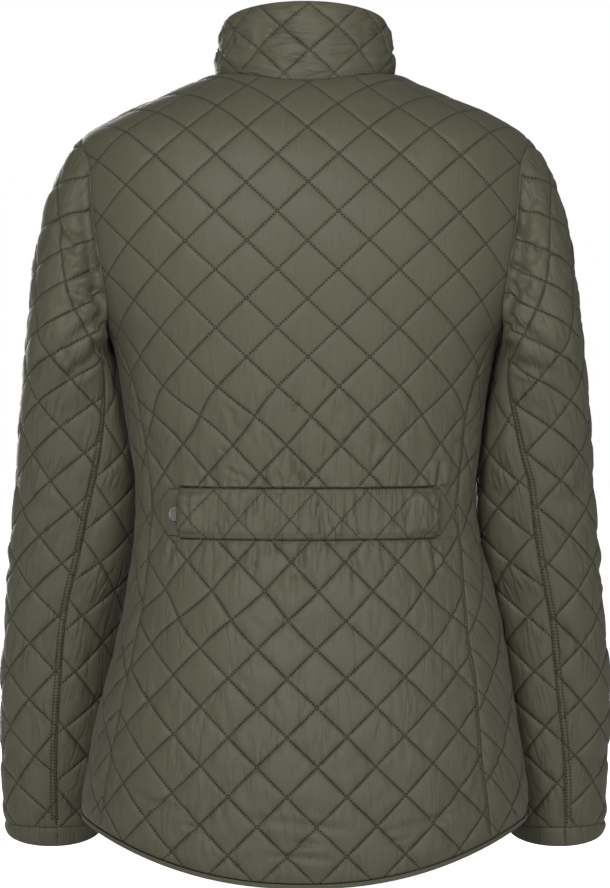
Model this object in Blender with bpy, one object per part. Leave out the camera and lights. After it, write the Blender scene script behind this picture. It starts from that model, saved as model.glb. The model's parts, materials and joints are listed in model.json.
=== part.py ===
"""A quilted jacket, filled out as if it were worn, with nobody in it.

Frame: +Z up, the front faces -Y and the wearer's left is +X. The origin is the middle of the neck
opening, at the height of the shoulders' inner ends. Sizes are in millimetres until a mesh is made,
which is in metres.

Every piece of cloth is cut flat, in (u, v), and laid on its part of the body's form: u runs across
the piece and v up it, both measured along the cloth.
"""

import math

import bpy
import numpy as np
from mathutils import Vector
from mathutils.geometry import delaunay_2d_cdt

METRES = 0.001

WALL = 2.0  # the quilted cloth at its stitches
PUFF = 2.6  # how far the middle of a diamond stands above its stitches
PLAIN_WALL = 1.6  # cloth that isn't quilted
SEAM_GAP = 0.6  # between two pieces at a seam
LAID_GAP = 0.4  # between a piece and the panel that it lies on
STATION = 26.0  # between two points of a seam

DIAMOND = (51.0, 50.3)  # width and height of a quilted diamond
COLLAR_DIAMOND = (46.0, 41.0)

# The body's form: one row for each level, in millimetres.
BODY = np.array(
    [  # level, left half width, right half width, back depth, front depth, squareness
        (12, 58, 58, 50, 28, 2.00),
        (2, 78, 78, 59, 37, 2.00),
        (-6, 96, 96, 63.5, 43, 2.04),
        (-20, 129, 129, 77, 53, 2.10),
        (-38, 170, 170, 90, 64, 2.18),
        (-53, 194, 194, 98, 73, 2.25),
        (-75, 203, 203, 106, 87, 2.28),
        (-100, 206, 206, 112, 100, 2.30),
        (-140, 204, 204, 117, 115, 2.35),
        (-180, 196, 196, 117, 123, 2.35),
        (-214, 180, 180, 115, 125, 2.33),
        (-231, 170.5, 170.5, 114, 125, 2.32),
        (-258, 163.5, 163.5, 112, 123, 2.30),
        (-284, 159, 158, 110, 120, 2.28),
        (-311, 154, 153.5, 108, 116, 2.27),
        (-337, 149, 150, 107, 113, 2.26),
        (-363, 147, 148.5, 106, 111, 2.25),
        (-390, 147.5, 150, 107, 111, 2.25),
        (-425, 151, 156, 111, 114, 2.24),
        (-460, 157, 167, 117, 119, 2.22),
        (-500, 165, 175, 124, 125, 2.21),
        (-534, 175, 180.5, 130, 129, 2.20),
        (-572, 184, 185.5, 136, 133, 2.20),
        (-603, 189.5, 190, 140, 136, 2.20),
        (-645, 195, 194, 144, 139, 2.20),
        (-740, 200, 198, 147, 142, 2.20),
    ]
)[::-1]
SHOULDER_LEVEL = -60.0  # above it a line of the cloth runs over the shoulder at one x
CHEST_LEVEL = -205.0  # below it u is measured all round the body
ZERO_LEVEL = -215.0  # where v is 0

SHOULDER_SEAM_Y = -12.0
SIDE_SEAM = np.array(
    [  # level, x of the left seam, x of the right seam, both as seen from behind
        (-219, 173.0, -173.0),
        (-260, 154.0, -152.0),
        (-311, 142.0, -139.0),
        (-343, 137.0, -136.0),
        (-376, 134.5, -133.0),
        (-414, 137.0, -136.5),
        (-460, 141.5, -139.5),
        (-492, 148.0, -142.5),
        (-524, 155.0, -148.0),
        (-556, 161.5, -150.5),
        (-600, 170.0, -154.0),
        (-630, 175.0, -158.0),
        (-680, 181.0, -163.0),
    ]
)[::-1]
# The armhole as seen from the side, from the side seam forward, up over the shoulder and back down.
ARMHOLE = np.array(
    [  # y, level
        (34, -219),
        (0, -229),
        (-30, -224),
        (-52, -206),
        (-62, -175),
        (-59, -135),
        (-51, -98),
        (-36, -70),
        (SHOULDER_SEAM_Y, -54),
        (18, -57),
        (45, -74),
        (57, -99),
        (64, -140),
        (64, -178),
        (53, -205),
    ]
)
ARMHOLE_TOP = 8  # the row of ARMHOLE where the shoulder seam ends
NECK_HALF_WIDTH, NECK_BACK, NECK_FRONT = 79.0, 65.0, 67.0  # plan of the neck seam

HEM_SIDE_LEVEL, HEM_BACK_DROP, HEM_FRONT_DROP, HEM_SCOOP = -647.0, 49.0, 26.0, 2.4

OVERLAP = 15.0  # how far each front goes past the middle
UNDERLAP_DEPTH = 6.5  # the left front's middle lies this far under the right front's
UNDERLAP_EASE = 70.0  # width over which the left front sinks to that depth
PLACKET = 36.0  # the right front's plain strip
PLACKET_VS = (-450.0, 160.0)  # its stitch line's ends
FRONT_SNAPS, FRONT_SNAP_RADIUS, FRONT_SNAP_HEIGHT = 6, 6.5, 2.0
FRONT_SNAP_TOP, FRONT_SNAP_FOOT = 122.0, -405.0  # v of the highest and the lowest
SEAT_MARGIN = 2.5  # of level cloth round a snap

QUILT_MARGIN, EXTRA_MARGIN = 7.0, 2.5  # between a piece's edge and the points inside it
BODY_CROSSING = (0.0, 117.0)  # where two stitch lines cross on the back and on the fronts
SLEEVE_CROSSING = (129.0, -19.0)
COLLAR_CROSSING = (-3.5, 26.0)
DRIFT_TOP, DRIFT, DRIFT_HEIGHT = -2.6, -7.6, 320.0  # the back's stitching leans sideways by this
# The body's quilting is pressed by the arm past this u and this v.
ARM_U, ARM_U_EASE, ARM_V, ARM_V_EASE, ARM_PRESS = 150.0, 30.0, -130.0, 40.0, 0.7
PRESS_GAP, PRESS_EASE, LEAST_PUFF = 3.5, 6.0, 0.15  # the sleeve's is, where the body is this near

BINDING_HEIGHT, BINDING_PROUD = 3.8, 0.8

# The gathered casing across the back of the waist, and the tabs that come out of its ends.
CASING_TOP, CASING_FOOT = -361.5, -405.0  # levels
CASING_ENDS = (-111.3, 107.0)  # x, as seen from behind
GATHER = 5.6  # between a gather's crest and its trough
GATHER_HEIGHT = 1.4
CASING_WALL = 1.8
MOUTH_LIFT, MOUTH_LENGTH, MOUTH_EASE = 4.7, 30.0, 16.0  # its open ends stand off the back
MOUTH_SIDE = 8.0  # from the casing's long edge to where its mouth is fully open
TAB_WALL, TONGUE, TONGUE_HALF, TAB_HALF = 1.5, 12.0, 12.0, 20.5
TAB_STEP = 0.6  # from the casing's end to where the tab has its full width
TAB_SPACING = 7.0  # between the points along a tab's edge
TAB_TIPS = {-1: -128.5, 1: 130.3}
TAB_CORNERS = {-1: -115.8, 1: 117.3}
TAB_SNAPS = {-1: -108.5, 1: 110.2}
SNAP_RADIUS, SNAP_HEIGHT = 7.0, 2.2
SNAP_SIDES, SNAP_RIM = 18, 0.6
WAIST_ROWS = (-1.15, -1, -0.5, 0, 0.5, 1, 1.15)  # of the back under the casing, in half heights of it
WAIST_SIDE, WAIST_MARGIN = 14.0, 11.0  # the quilting stops this far from the tabs and the casing


def through(rows, column):
    """A smooth curve through a table's column, as a function of its first column."""
    knots, values = rows[:, 0], rows[:, column]
    slopes = np.gradient(values, knots)

    def curve(at):
        at = np.clip(at, knots[0], knots[-1])
        i = np.clip(np.searchsorted(knots, at) - 1, 0, len(knots) - 2)
        span = knots[i + 1] - knots[i]
        t = (at - knots[i]) / span
        start = (2 * t**3 - 3 * t**2 + 1) * values[i] + (t**3 - 2 * t**2 + t) * span * slopes[i]
        end = (3 * t**2 - 2 * t**3) * values[i + 1] + (t**3 - t**2) * span * slopes[i + 1]
        return start + end

    return curve


def ease(x):
    x = np.clip(x, 0, 1)
    return x * x * (3 - 2 * x)


def unit(vectors):
    return vectors / np.maximum(np.linalg.norm(vectors, axis=-1, keepdims=True), 1e-9)


def lengths(points):
    """How far along a line each of its points is."""
    steps = np.linalg.norm(np.diff(points, axis=0), axis=1)
    return np.concatenate([[0], np.cumsum(steps)])


def along(points, at):
    """Points at the given distances along a line."""
    far = lengths(points)
    return np.stack([np.interp(at, far, points[:, k]) for k in range(points.shape[1])], axis=1)


def smooth_line(points, per_span=12, closed=False):
    """A Catmull-Rom curve through the points."""
    n = len(points)
    index = np.arange(n if closed else n - 1)
    near = (lambda k: k % n) if closed else (lambda k: np.clip(k, 0, n - 1))
    a, b, c, d = (points[near(index + k)][:, None] for k in (-1, 0, 1, 2))
    t = (np.arange(per_span) / per_span)[None, :, None]
    curve = 0.5 * (2 * b + (c - a) * t + (2 * a - 5 * b + 4 * c - d) * t**2 + (3 * b - a - 3 * c + d) * t**3)
    return np.concatenate([curve.reshape(-1, points.shape[1]), points[:1] if closed else points[-1:]])


# ---- The body's form ----

left_half, right_half, back_depth, front_depth, squareness = (through(BODY, k) for k in range(1, 6))
TURNS = np.linspace(0, math.pi, 241)  # from the middle of the back round one side to the front's


def half_width(z, side):
    return left_half(z) if side > 0 else right_half(z)


def depth(z, y):
    return np.where(y >= 0, back_depth(z), front_depth(z))


def side_x(y, z, side):
    """x of the body's surface at a point seen from the side."""
    n = squareness(z)
    inside = np.clip(1 - (np.abs(y) / depth(z, y)) ** n, 0, 1)
    return side * half_width(z, side) * inside ** (1 / n)


def back_y(x, z):
    """y of the back's surface at a point seen from behind."""
    n = squareness(z)
    wide = np.where(x >= 0, left_half(z), right_half(z))
    return back_depth(z) * np.clip(1 - (np.abs(x) / wide) ** n, 0, 1) ** (1 / n)


def outside(x, y, z):
    """Below 0 inside the body, above 0 outside."""
    n = squareness(z)
    wide = np.where(x >= 0, left_half(z), right_half(z))
    return (np.abs(x) / wide) ** n + (np.abs(y) / depth(z, y)) ** n - 1


def roof(x, y):
    """The level of the shoulders' surface over a point seen from above."""
    low, high = np.full(np.shape(x), -200.0), np.full(np.shape(x), 12.0)
    for _ in range(40):
        middle = (low + high) / 2
        inside = outside(x, y, middle) < 0
        low, high = np.where(inside, middle, low), np.where(inside, high, middle)
    return low


def body_normal(points, step=0.5):
    slope = [
        outside(*(points + step * axis).T) - outside(*(points - step * axis).T) for axis in np.eye(3)
    ]
    return unit(np.stack(slope, axis=1))


def ring(z, side):
    """Half of the body's outline at a level, and how far round it each point is on the cloth."""
    n, turn = squareness(z), TURNS
    y = np.sign(np.cos(turn)) * np.abs(np.cos(turn)) ** (2 / n)
    y = y * np.where(y >= 0, back_depth(z), front_depth(z))
    x = side * half_width(z, side) * np.sin(turn) ** (2 / n)
    all_round = ease((SHOULDER_LEVEL - z) / (SHOULDER_LEVEL - CHEST_LEVEL))
    steps = np.sqrt(np.diff(x) ** 2 + all_round * np.diff(y) ** 2)
    return x, y, np.concatenate([[0], np.cumsum(steps)])


def across(points, from_front):
    """u of points on the body: how far they are from the middle of the back, or of the front."""
    found = []
    for x, y, z in points:
        side, n = (1 if x >= 0 else -1), squareness(z)
        if z > SHOULDER_LEVEL:
            found.append(x)
            continue
        turn = math.atan2(
            (abs(x) / half_width(z, side)) ** (n / 2),
            math.copysign((abs(y) / depth(z, y)) ** (n / 2), y),
        )
        _, _, far = ring(z, side)
        u = np.interp(turn, TURNS, far)
        found.append(side * (far[-1] - u if from_front else u))
    return np.array(found)


class Cloth:
    """A form that flat cloth is laid on: place(u, v) is where a point of the cloth goes."""

    STEP = 2.0

    def __init__(self, us, lines, facing, v_range):
        self.us, self.facing = us, facing
        self.vs = np.arange(*v_range, self.STEP)
        self.grid = np.stack([self.even(v, line) for v, line in lines])

    def even(self, v, line):
        """A line's points at even steps of v, running straight on past its ends."""
        first, last = (line[1] - line[0]) / (v[1] - v[0]), (line[-1] - line[-2]) / (v[-1] - v[-2])
        points = np.stack([np.interp(self.vs, v, line[:, k]) for k in range(3)], axis=1)
        points += np.minimum(self.vs - v[0], 0)[:, None] * first
        points += np.maximum(self.vs - v[-1], 0)[:, None] * last
        return points

    def place(self, u, v):
        i = np.clip((np.asarray(u, float) - self.us[0]) / (self.us[1] - self.us[0]), 0, len(self.us) - 1.001)
        j = np.clip((np.asarray(v, float) - self.vs[0]) / self.STEP, 0, len(self.vs) - 1.001)
        a, b = i.astype(int), j.astype(int)
        s, t = (i - a)[:, None], (j - b)[:, None]
        g = self.grid
        low = g[a, b] * (1 - s) + g[a + 1, b] * s
        high = g[a, b + 1] * (1 - s) + g[a + 1, b + 1] * s
        return low * (1 - t) + high * t

    def ways(self, u, v, step=3.0):
        """The directions of u and v on the form, as long as the cloth is stretched there."""
        du = self.place(u + step, v) - self.place(u - step, v)
        dv = self.place(u, v + step) - self.place(u, v - step)
        return du / (2 * step), dv / (2 * step)

    def normal(self, u, v):
        return self.facing * unit(np.cross(*self.ways(u, v)))

    def sunk(self, depth_at):
        """The same form, lying deeper by an amount that depends on u."""
        u, v = (x.ravel() for x in np.meshgrid(self.us, self.vs, indexing="ij"))
        made = Cloth.__new__(Cloth)
        made.us, made.vs, made.facing = self.us, self.vs, self.facing
        made.grid = (self.place(u, v) - self.normal(u, v) * depth_at(u)[:, None]).reshape(self.grid.shape)
        return made

    def mirrored(self):
        made = Cloth.__new__(Cloth)
        made.us, made.vs, made.facing = self.us, self.vs, -self.facing
        made.grid = self.grid * (-1, 1, 1)
        return made

    def flat(self, us, points):
        """The (u, v) of points whose u is known."""
        tries = np.arange(self.vs[0], self.vs[-1], 0.5)
        vs = []
        for u, point in zip(us, points):
            far = np.linalg.norm(self.place(np.full(len(tries), u), tries) - point, axis=1)
            vs.append(tries[far.argmin()])
        return np.stack([us, np.array(vs)], axis=1)


def body_cloth(from_front):
    """The back's or the fronts' form. Each line of it goes up one side of the body at one u."""
    levels = np.arange(-736.0, SHOULDER_LEVEL, 6.0)
    rings = {side: [ring(z, side) for z in levels] for side in (1, -1)}
    us = np.arange(-372.0, 373.0, 4.0) if from_front else np.arange(-256.0, 257.0, 4.0)
    lines = []
    for u in us:
        side, points = (1 if u >= 0 else -1), []
        for z, (x, y, far) in zip(levels, rings[side]):
            at = far[-1] - abs(u) if from_front else abs(u)
            edge = far[len(TURNS) // 2]
            if z < CHEST_LEVEL or (at >= edge if from_front else at <= edge):
                points.append((np.interp(at, far, x), np.interp(at, far, y), z))
        points = np.array(points)
        if abs(u) < half_width(SHOULDER_LEVEL, side):
            points = np.concatenate([points, over_shoulder(u, from_front)])
        v = lengths(points)
        lines.append((v - np.interp(ZERO_LEVEL, levels[: len(v)], v[: len(levels)]), points))
    return Cloth(us, lines, 1 if from_front else -1, (-560.0, 330.0))


def over_shoulder(x, from_front):
    """The line at one x from SHOULDER_LEVEL up over the ridge and a little way down again."""
    top_level = BODY[-1, 0]
    ridge = float(roof(np.array(x), np.array(0.0)))
    rise = 1 - np.cos(np.linspace(0, math.pi / 2, 25))
    z = ridge - (ridge - SHOULDER_LEVEL) * rise[::-1]
    n = squareness(z)
    wide = half_width(z, 1 if x >= 0 else -1)
    share = np.clip(1 - (abs(x) / wide) ** n, 0, 1) ** (1 / n)
    back = np.stack([np.full(25, x), back_depth(z) * share, z], axis=1)
    front = np.stack([np.full(25, x), -front_depth(z) * share, z], axis=1)
    near, far = (front, back) if from_front else (back, front)
    if ridge > top_level - 0.1:
        return near
    past = far[::-1][1:]
    return np.concatenate([near, past[np.abs(past[:, 1]) < 40]])


def hem_level(points):
    """The level of the hem above or below points of the body."""
    y, z = points[:, 1], points[:, 2]
    share = np.clip(np.abs(y) / depth(z, y), 0, 1)
    drop = np.where(y >= 0, HEM_BACK_DROP, HEM_FRONT_DROP)
    return HEM_SIDE_LEVEL - drop * share**HEM_SCOOP


def hem_line(side):
    """From the middle of the back round one side to the middle of the front."""
    level = np.full(len(TURNS), HEM_SIDE_LEVEL)
    for _ in range(6):
        n = squareness(level)
        y = np.sign(np.cos(TURNS)) * np.abs(np.cos(TURNS)) ** (2 / n)
        y = y * np.where(y >= 0, back_depth(level), front_depth(level))
        x = side * half_width(level, side) * np.sin(TURNS) ** (2 / n)
        level = hem_level(np.stack([x, y, level], axis=1))
    return np.stack([x, y, level], axis=1)


def neck_line(side):
    """From the middle of the back round one side to the middle of the front."""
    turn = np.linspace(0, math.pi, 121)
    x = side * NECK_HALF_WIDTH * np.sin(turn)
    y = np.where(turn < math.pi / 2, NECK_BACK, NECK_FRONT) * np.cos(turn)
    return np.stack([x, y, roof(x, y)], axis=1)


# ---- The sleeves' form ----

SLEEVE = np.array(
    [  # level, middle x, middle y, half width, half depth, squareness, seam's way round to the back
        (-245, 208.5, -2, 35.0, 66, 2.60, 38),
        (-284, 205.2, -20, 43.8, 61, 2.40, 50),
        (-337, 202.2, -35, 51.8, 56, 2.20, 63),
        (-378, 203.2, -47, 53.8, 54, 2.10, 71),
        (-425, 207.2, -60, 54.8, 53, 2.05, 77),
        (-460, 212.0, -70, 53.0, 52, 2.05, 79),
        (-534, 220.0, -84, 52.0, 50, 2.05, 77),
        (-603, 223.5, -92, 48.0, 47, 2.05, 72),
        (-645, 225.0, -96, 45.0, 44.5, 2.05, 66),
        (-665, 226.0, -98, 44.0, 43.5, 2.05, 63),
        (-700, 227.0, -100, 43.0, 42.5, 2.05, 61),
    ]
)[::-1]
SLEEVE_TOP, CUFF_SEAM, CUFF_EDGE = -245.0, -665.0, -682.0
# How far the cuff's seam and its edge rise from the back of the arm to its sides, and on to its front.
CUFF_RISE = {CUFF_SEAM: (4.0, 16.0), CUFF_EDGE: (13.5, 17.0)}
HEAD_TILT = (0.62, 0.10)  # how far the sleeve's top leaves the shoulder outwards, and its sides
SLEEVE_LEVELS = np.linspace(-690.0, SLEEVE_TOP, 200)

sleeve_columns = [through(SLEEVE, k) for k in range(1, 7)]


def sleeve_ring(z):
    """The sleeve's outline at a level, from nearest the body round the front, and how far round it is."""
    mid_x, mid_y, wide, deep, n, _ = (column(z) for column in sleeve_columns)
    turn = np.linspace(0, 2 * math.pi, 241)
    c, s = np.cos(turn), np.sin(turn)
    x = mid_x - wide * np.sign(c) * np.abs(c) ** (2 / n)
    y = mid_y - deep * np.sign(s) * np.abs(s) ** (2 / n)
    line = np.stack([x, y, np.full(len(turn), z)], axis=1)
    return line, lengths(line)


def sleeve_girth(z):
    return sleeve_ring(z)[1][-1]


def on_sleeve_ring(z, share):
    """The point a share of the way round a ring, from its seam under the arm to its seam again."""
    line, far = sleeve_ring(z)
    at = (share * far[-1] - sleeve_columns[5](z)) % far[-1]
    return np.array([np.interp(at, far, line[:, k]) for k in range(3)])


def armhole_line(side):
    """The armhole from the side seam forward and all the way round, and how far round its shoulder is."""
    view = smooth_line(ARMHOLE.astype(float), closed=True)
    line = np.stack([side_x(view[:, 0], view[:, 1], side), view[:, 0], view[:, 1]], axis=1)
    return line, ARMHOLE_TOP * 12


def sleeve_head(share):
    """The line of the sleeve's head from its top ring up to the armhole."""
    hole, _ = armhole_line(1)
    far = lengths(hole)
    start = np.array([np.interp(share * far[-1], far, hole[:, k]) for k in range(3)])
    end = on_sleeve_ring(SLEEVE_TOP, share)
    low, high = hole[:, 2].min(), hole[:, 2].max()
    rise = (start[2] - low) / (high - low)
    out = unit(np.array([HEAD_TILT[0] * rise, HEAD_TILT[1] * start[1] / 60, 0.25 * rise - 1]))
    down = unit(on_sleeve_ring(SLEEVE_TOP - 15, share) - end)
    span = np.linalg.norm(end - start)
    t = np.linspace(1, 0, 25)[:, None]
    return (
        (2 * t**3 - 3 * t**2 + 1) * start
        + (t**3 - 2 * t**2 + t) * span * out
        + (3 * t**2 - 2 * t**3) * end
        + (t**3 - t**2) * span * down
    )


def sleeve_cloth():
    """The left sleeve's form: v is 0 at its top ring, and u is 0 opposite the seam."""
    top_girth = sleeve_girth(SLEEVE_TOP)
    levels = np.append(np.arange(-690.0, SLEEVE_TOP - 1, 6.0), SLEEVE_TOP)
    rings = [sleeve_ring(z) for z in levels]
    middles = np.stack([sleeve_columns[0](levels), sleeve_columns[1](levels), levels], axis=1)
    down = lengths(middles)
    v_rings = down - down[-1]
    us = np.arange(-196.0, 197.0, 4.0)
    lines = []
    for u in us:
        points = []
        for z, (line, far) in zip(levels, rings):
            at = (u + far[-1] / 2 - sleeve_columns[5](z)) % far[-1]
            points.append([np.interp(at, far, line[:, k]) for k in range(3)])
        head = sleeve_head((u / top_girth + 0.5) % 1)
        v = np.concatenate([v_rings, lengths(head)[1:]])
        lines.append((v, np.concatenate([points, head[1:]])))
    return Cloth(us, lines, 1, (-470.0, 240.0))


# ---- The collar's form ----

COLLAR_TOP = (72.0, 58.0, 60.0)  # half width, back and front of its top edge in plan
COLLAR_TOP_LEVEL, COLLAR_TILT = 45.0, 0.28  # at the sides, and how it falls towards the front
COLLAR_BULGE = 0.5
COLLAR_EDGE = 0.1  # its top edge rises this far past the form


def collar_top(path):
    """The collar's top edge, over points of the neck seam."""
    wide, back, front = COLLAR_TOP
    top = path * (wide / NECK_HALF_WIDTH, 1, 1)
    top[:, 1] *= np.where(path[:, 1] > 0, back / NECK_BACK, front / NECK_FRONT)
    top[:, 2] = COLLAR_TOP_LEVEL + COLLAR_TILT * top[:, 1]
    return top


def neck_path():
    """The neck seam from the right front's edge round the back to the left front's edge."""
    right, left = neck_line(-1), neck_line(1)
    whole = lengths(left)[-1]
    past = along(left, np.linspace(whole - OVERLAP, whole, 6))
    under = along(right, np.linspace(whole, whole - OVERLAP, 6))
    return np.concatenate([past[:-1], right[::-1], left[1:], under[1:]])


def collar_cloth():
    path = neck_path()
    u = lengths(path)
    u -= u[-1] / 2
    top = collar_top(path)
    out = unit(path * (1, 1, 0))
    us = np.arange(-256.0, 257.0, 4.0)
    share = np.linspace(0, 1, 13)[:, None]
    lines = []
    for at in us:
        low, high, way = (np.array([np.interp(at, u, x[:, k]) for k in range(3)]) for x in (path, top, out))
        line = low + (high - low) * share + way * COLLAR_BULGE * np.sin(math.pi * share)
        lines.append((lengths(line), line))
    return Cloth(us, lines, -1, (-12.0, 90.0))


def underlap(far):
    """How deep the left front and the collar's left end lie, by how far they are from the middle."""
    return UNDERLAP_DEPTH * ease((UNDERLAP_EASE - far) / (UNDERLAP_EASE - OVERLAP))


# ---- From flat cloth to a solid ----


def inset(outline, normal, by):
    """A closed outline moved inwards along its cloth. It runs counterclockwise round the normals."""
    before, after = np.roll(outline, 1, axis=0), np.roll(outline, -1, axis=0)
    first, second = unit(np.cross(normal, outline - before)), unit(np.cross(normal, after - outline))
    middle = unit(first + second)
    reach = by / np.maximum((middle * first).sum(axis=1), 0.35)
    return outline + middle * reach[:, None]


def edge_distance(points, outline):
    """How far points are from a closed outline."""
    a, b = outline[None], np.roll(outline, -1, axis=0)[None]
    p = points[:, None]
    share = ((p - a) * (b - a)).sum(axis=2) / np.maximum(((b - a) ** 2).sum(axis=2), 1e-9)
    nearest = a + (b - a) * np.clip(share, 0, 1)[..., None]
    return np.linalg.norm(p - nearest, axis=2).min(axis=1)


def inside(points, outline):
    a, b = outline[None], np.roll(outline, -1, axis=0)[None]
    x, y = points[:, None, 0], points[:, None, 1]
    crosses = (a[..., 1] > y) != (b[..., 1] > y)
    rise = np.where(b[..., 1] == a[..., 1], 1e-9, b[..., 1] - a[..., 1])
    return (crosses & (x < a[..., 0] + (y - a[..., 1]) * (b[..., 0] - a[..., 0]) / rise)).sum(axis=1) % 2 == 1


class Quilt:
    """Diamond stitching: its size, where one crossing is, and how far it drifts sideways up the cloth."""

    def __init__(self, size, crossing, drift=lambda v: 0 * v, puff=lambda u, v: 1 + 0 * u):
        self.size, self.crossing, self.drift, self.puff = size, crossing, drift, puff

    def points(self, outline, plain):
        """The crossings and the middles of diamonds inside an outline, and the stitch lines' ends."""
        half = np.array(self.size) / 2
        low = np.floor((outline.min(axis=0) - self.crossing) / half).astype(int) - 1
        high = np.ceil((outline.max(axis=0) - self.crossing) / half).astype(int) + 1
        cells = [(i, j) for i in range(low[0], high[0]) for j in range(low[1], high[1])]
        flat = np.array(cells) * half + self.crossing
        flat[:, 0] += self.drift(flat[:, 1])
        good = inside(flat, outline) & (edge_distance(flat, outline) > QUILT_MARGIN)
        if plain:
            good &= ~plain(flat)
        crossings = {c: p for c, p, ok in zip(cells, flat, good) if ok and (c[0] + c[1]) % 2 == 0}
        middles = [p for c, p, ok in zip(cells, flat, good) if ok and (c[0] + c[1]) % 2]
        ends = []
        for (i, j), p in crossings.items():
            for other in ((i + 1, j + 1), (i + 1, j - 1)):
                q = crossings.get(other)
                if q is not None and edge_distance((p + q)[None] / 2, outline)[0] > QUILT_MARGIN:
                    ends.append(((i, j), other))
        return crossings, middles, ends


class Edge:
    """One side of a piece: its points on the flat cloth and, at a seam, their places and lean."""

    def __init__(self, flat, places=None, lean=None):
        self.flat, self.places, self.lean = flat, places, lean

    def on(self, cloth):
        """Its places and lean, those of the cloth itself where it isn't at a seam."""
        if self.places is None:
            return cloth.place(*self.flat.T), cloth.normal(*self.flat.T)
        return self.places, self.lean


def run(low, high, count):
    return np.linspace(low, high, count + 1)


def panel(name, cloth, edges, quilt, wall, material, extra=(), plain=None, lift=None):
    """Makes one piece of cloth as a solid.

    edges run counterclockwise round the flat cloth. extra are further points that the piece has, and
    plain says where it isn't quilted. lift is how far its inner and outer points stand off the form.
    """
    flat = np.concatenate([e.flat[:-1] for e in edges])
    places = np.concatenate([e.on(cloth)[0][:-1] for e in edges])
    lean = np.concatenate([e.on(cloth)[1][:-1] for e in edges])
    count = len(flat)
    own = cloth.normal(*flat.T)
    rim = inset(places, own * cloth.facing, SEAM_GAP / 2)

    points, lines, middles = list(flat), [(i, (i + 1) % count) for i in range(count)], []
    if quilt:
        crossings, middles, ends = quilt.points(flat, plain)
        index = {}
        for cell, point in crossings.items():
            index[cell] = len(points)
            points.append(point)
        lines += [(index[a], index[b]) for a, b in ends]
    first_middle = len(points)
    points += middles
    first_extra = len(points)
    if len(extra):
        points += list(extra[inside(extra, flat) & (edge_distance(extra, flat) > EXTRA_MARGIN)])
    made = delaunay_2d_cdt([Vector(p) for p in points], lines, [list(range(count))], 1, 1e-4)
    source = [ids[0] if ids else -1 for ids in made[3]]
    where = np.array([tuple(p) for p in made[0]])
    out = cloth.place(*where.T)
    normal = cloth.normal(*where.T)
    high, deep = np.zeros(len(where)), np.full(len(where), wall)
    for k, s in enumerate(source):
        if 0 <= s < count:
            out[k], normal[k] = rim[s], lean[s]
            deep[k] = wall / max(float(own[s] @ lean[s]), 0.4)
        elif first_middle <= s < first_extra:
            high[k] = PUFF * float(quilt.puff(*where[k]))
    if lift:
        low, high = lift(*where.T)
        deep = -low
    outer, inner = out + normal * high[:, None], out - normal * deep[:, None]
    faces = [f if cloth.facing > 0 else f[::-1] for f in made[2]]
    solid(name, outer, inner, faces, material)
    return where, faces


SPLIT_ORDER = np.array((0.31, 0.77, 1.0))


def solid(name, outer, inner, faces, material):
    """A wall between two like nets of triangles."""
    n = len(outer)
    sides = {}
    for f in faces:
        for a, b in zip(f, list(f[1:]) + [f[0]]):
            sides[a, b] = True
    rim = [(a, b) for a, b in sides if (b, a) not in sides]
    every = [tuple(f) for f in faces] + [tuple(i + n for i in reversed(f)) for f in faces]
    for a, b in rim:  # the pieces on both sides of a seam split it alike, so that neither enters the other
        if outer[a] @ SPLIT_ORDER < outer[b] @ SPLIT_ORDER:
            every += [(b, a, b + n), (a, a + n, b + n)]
        else:
            every += [(b, a, a + n), (b, a + n, b + n)]
    return piece(name, np.concatenate([outer, inner]), every, material)


def piece(name, points, faces, material):
    mesh = bpy.data.meshes.new(name)
    mesh.from_pydata((np.asarray(points) * METRES).tolist(), [], faces)
    mesh.materials.append(material)
    made = bpy.data.objects.new(name, mesh)
    bpy.context.collection.objects.link(made)
    return made


# ---- Seams, as points shared by the pieces on their two sides ----


def hem_path():
    """The hem from the right front's edge round the back to the left front's edge."""
    right, left = hem_line(-1), hem_line(1)
    past = along(left[::-1], np.linspace(OVERLAP, 0, 4))
    under = along(right[::-1], np.linspace(0, OVERLAP, 4))
    return np.concatenate([past[:-1], right[::-1], left[1:], under[1:]])


def split_at(line, value, column):
    """Cuts a line in two where one of its coordinates first passes a value. Both parts get that point."""
    over = np.sign(line[:, column] - value)
    past = np.nonzero(over[1:] * over[:-1] < 0)[0][0]
    a, b = line[past], line[past + 1]
    point = a + (b - a) * (value - a[column]) / (b[column] - a[column])
    return np.vstack([line[: past + 1], point]), np.vstack([point, line[past + 1 :]])


def stations(line, spacing=STATION):
    """Points evenly along a line, its ends included."""
    far = lengths(line)[-1]
    return along(line, np.linspace(0, far, max(2, round(far / spacing)) + 1))


def side_line(side):
    """A side seam, from where it meets the hem up to the armhole."""
    xs = through(SIDE_SEAM, 1 if side > 0 else 2)
    z = np.linspace(-690.0, SIDE_SEAM[-1, 0], 400)
    line = np.stack([xs(z), back_y(xs(z), z), z], axis=1)
    return line[np.argmax(line[:, 2] > hem_level(line)) :]


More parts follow.
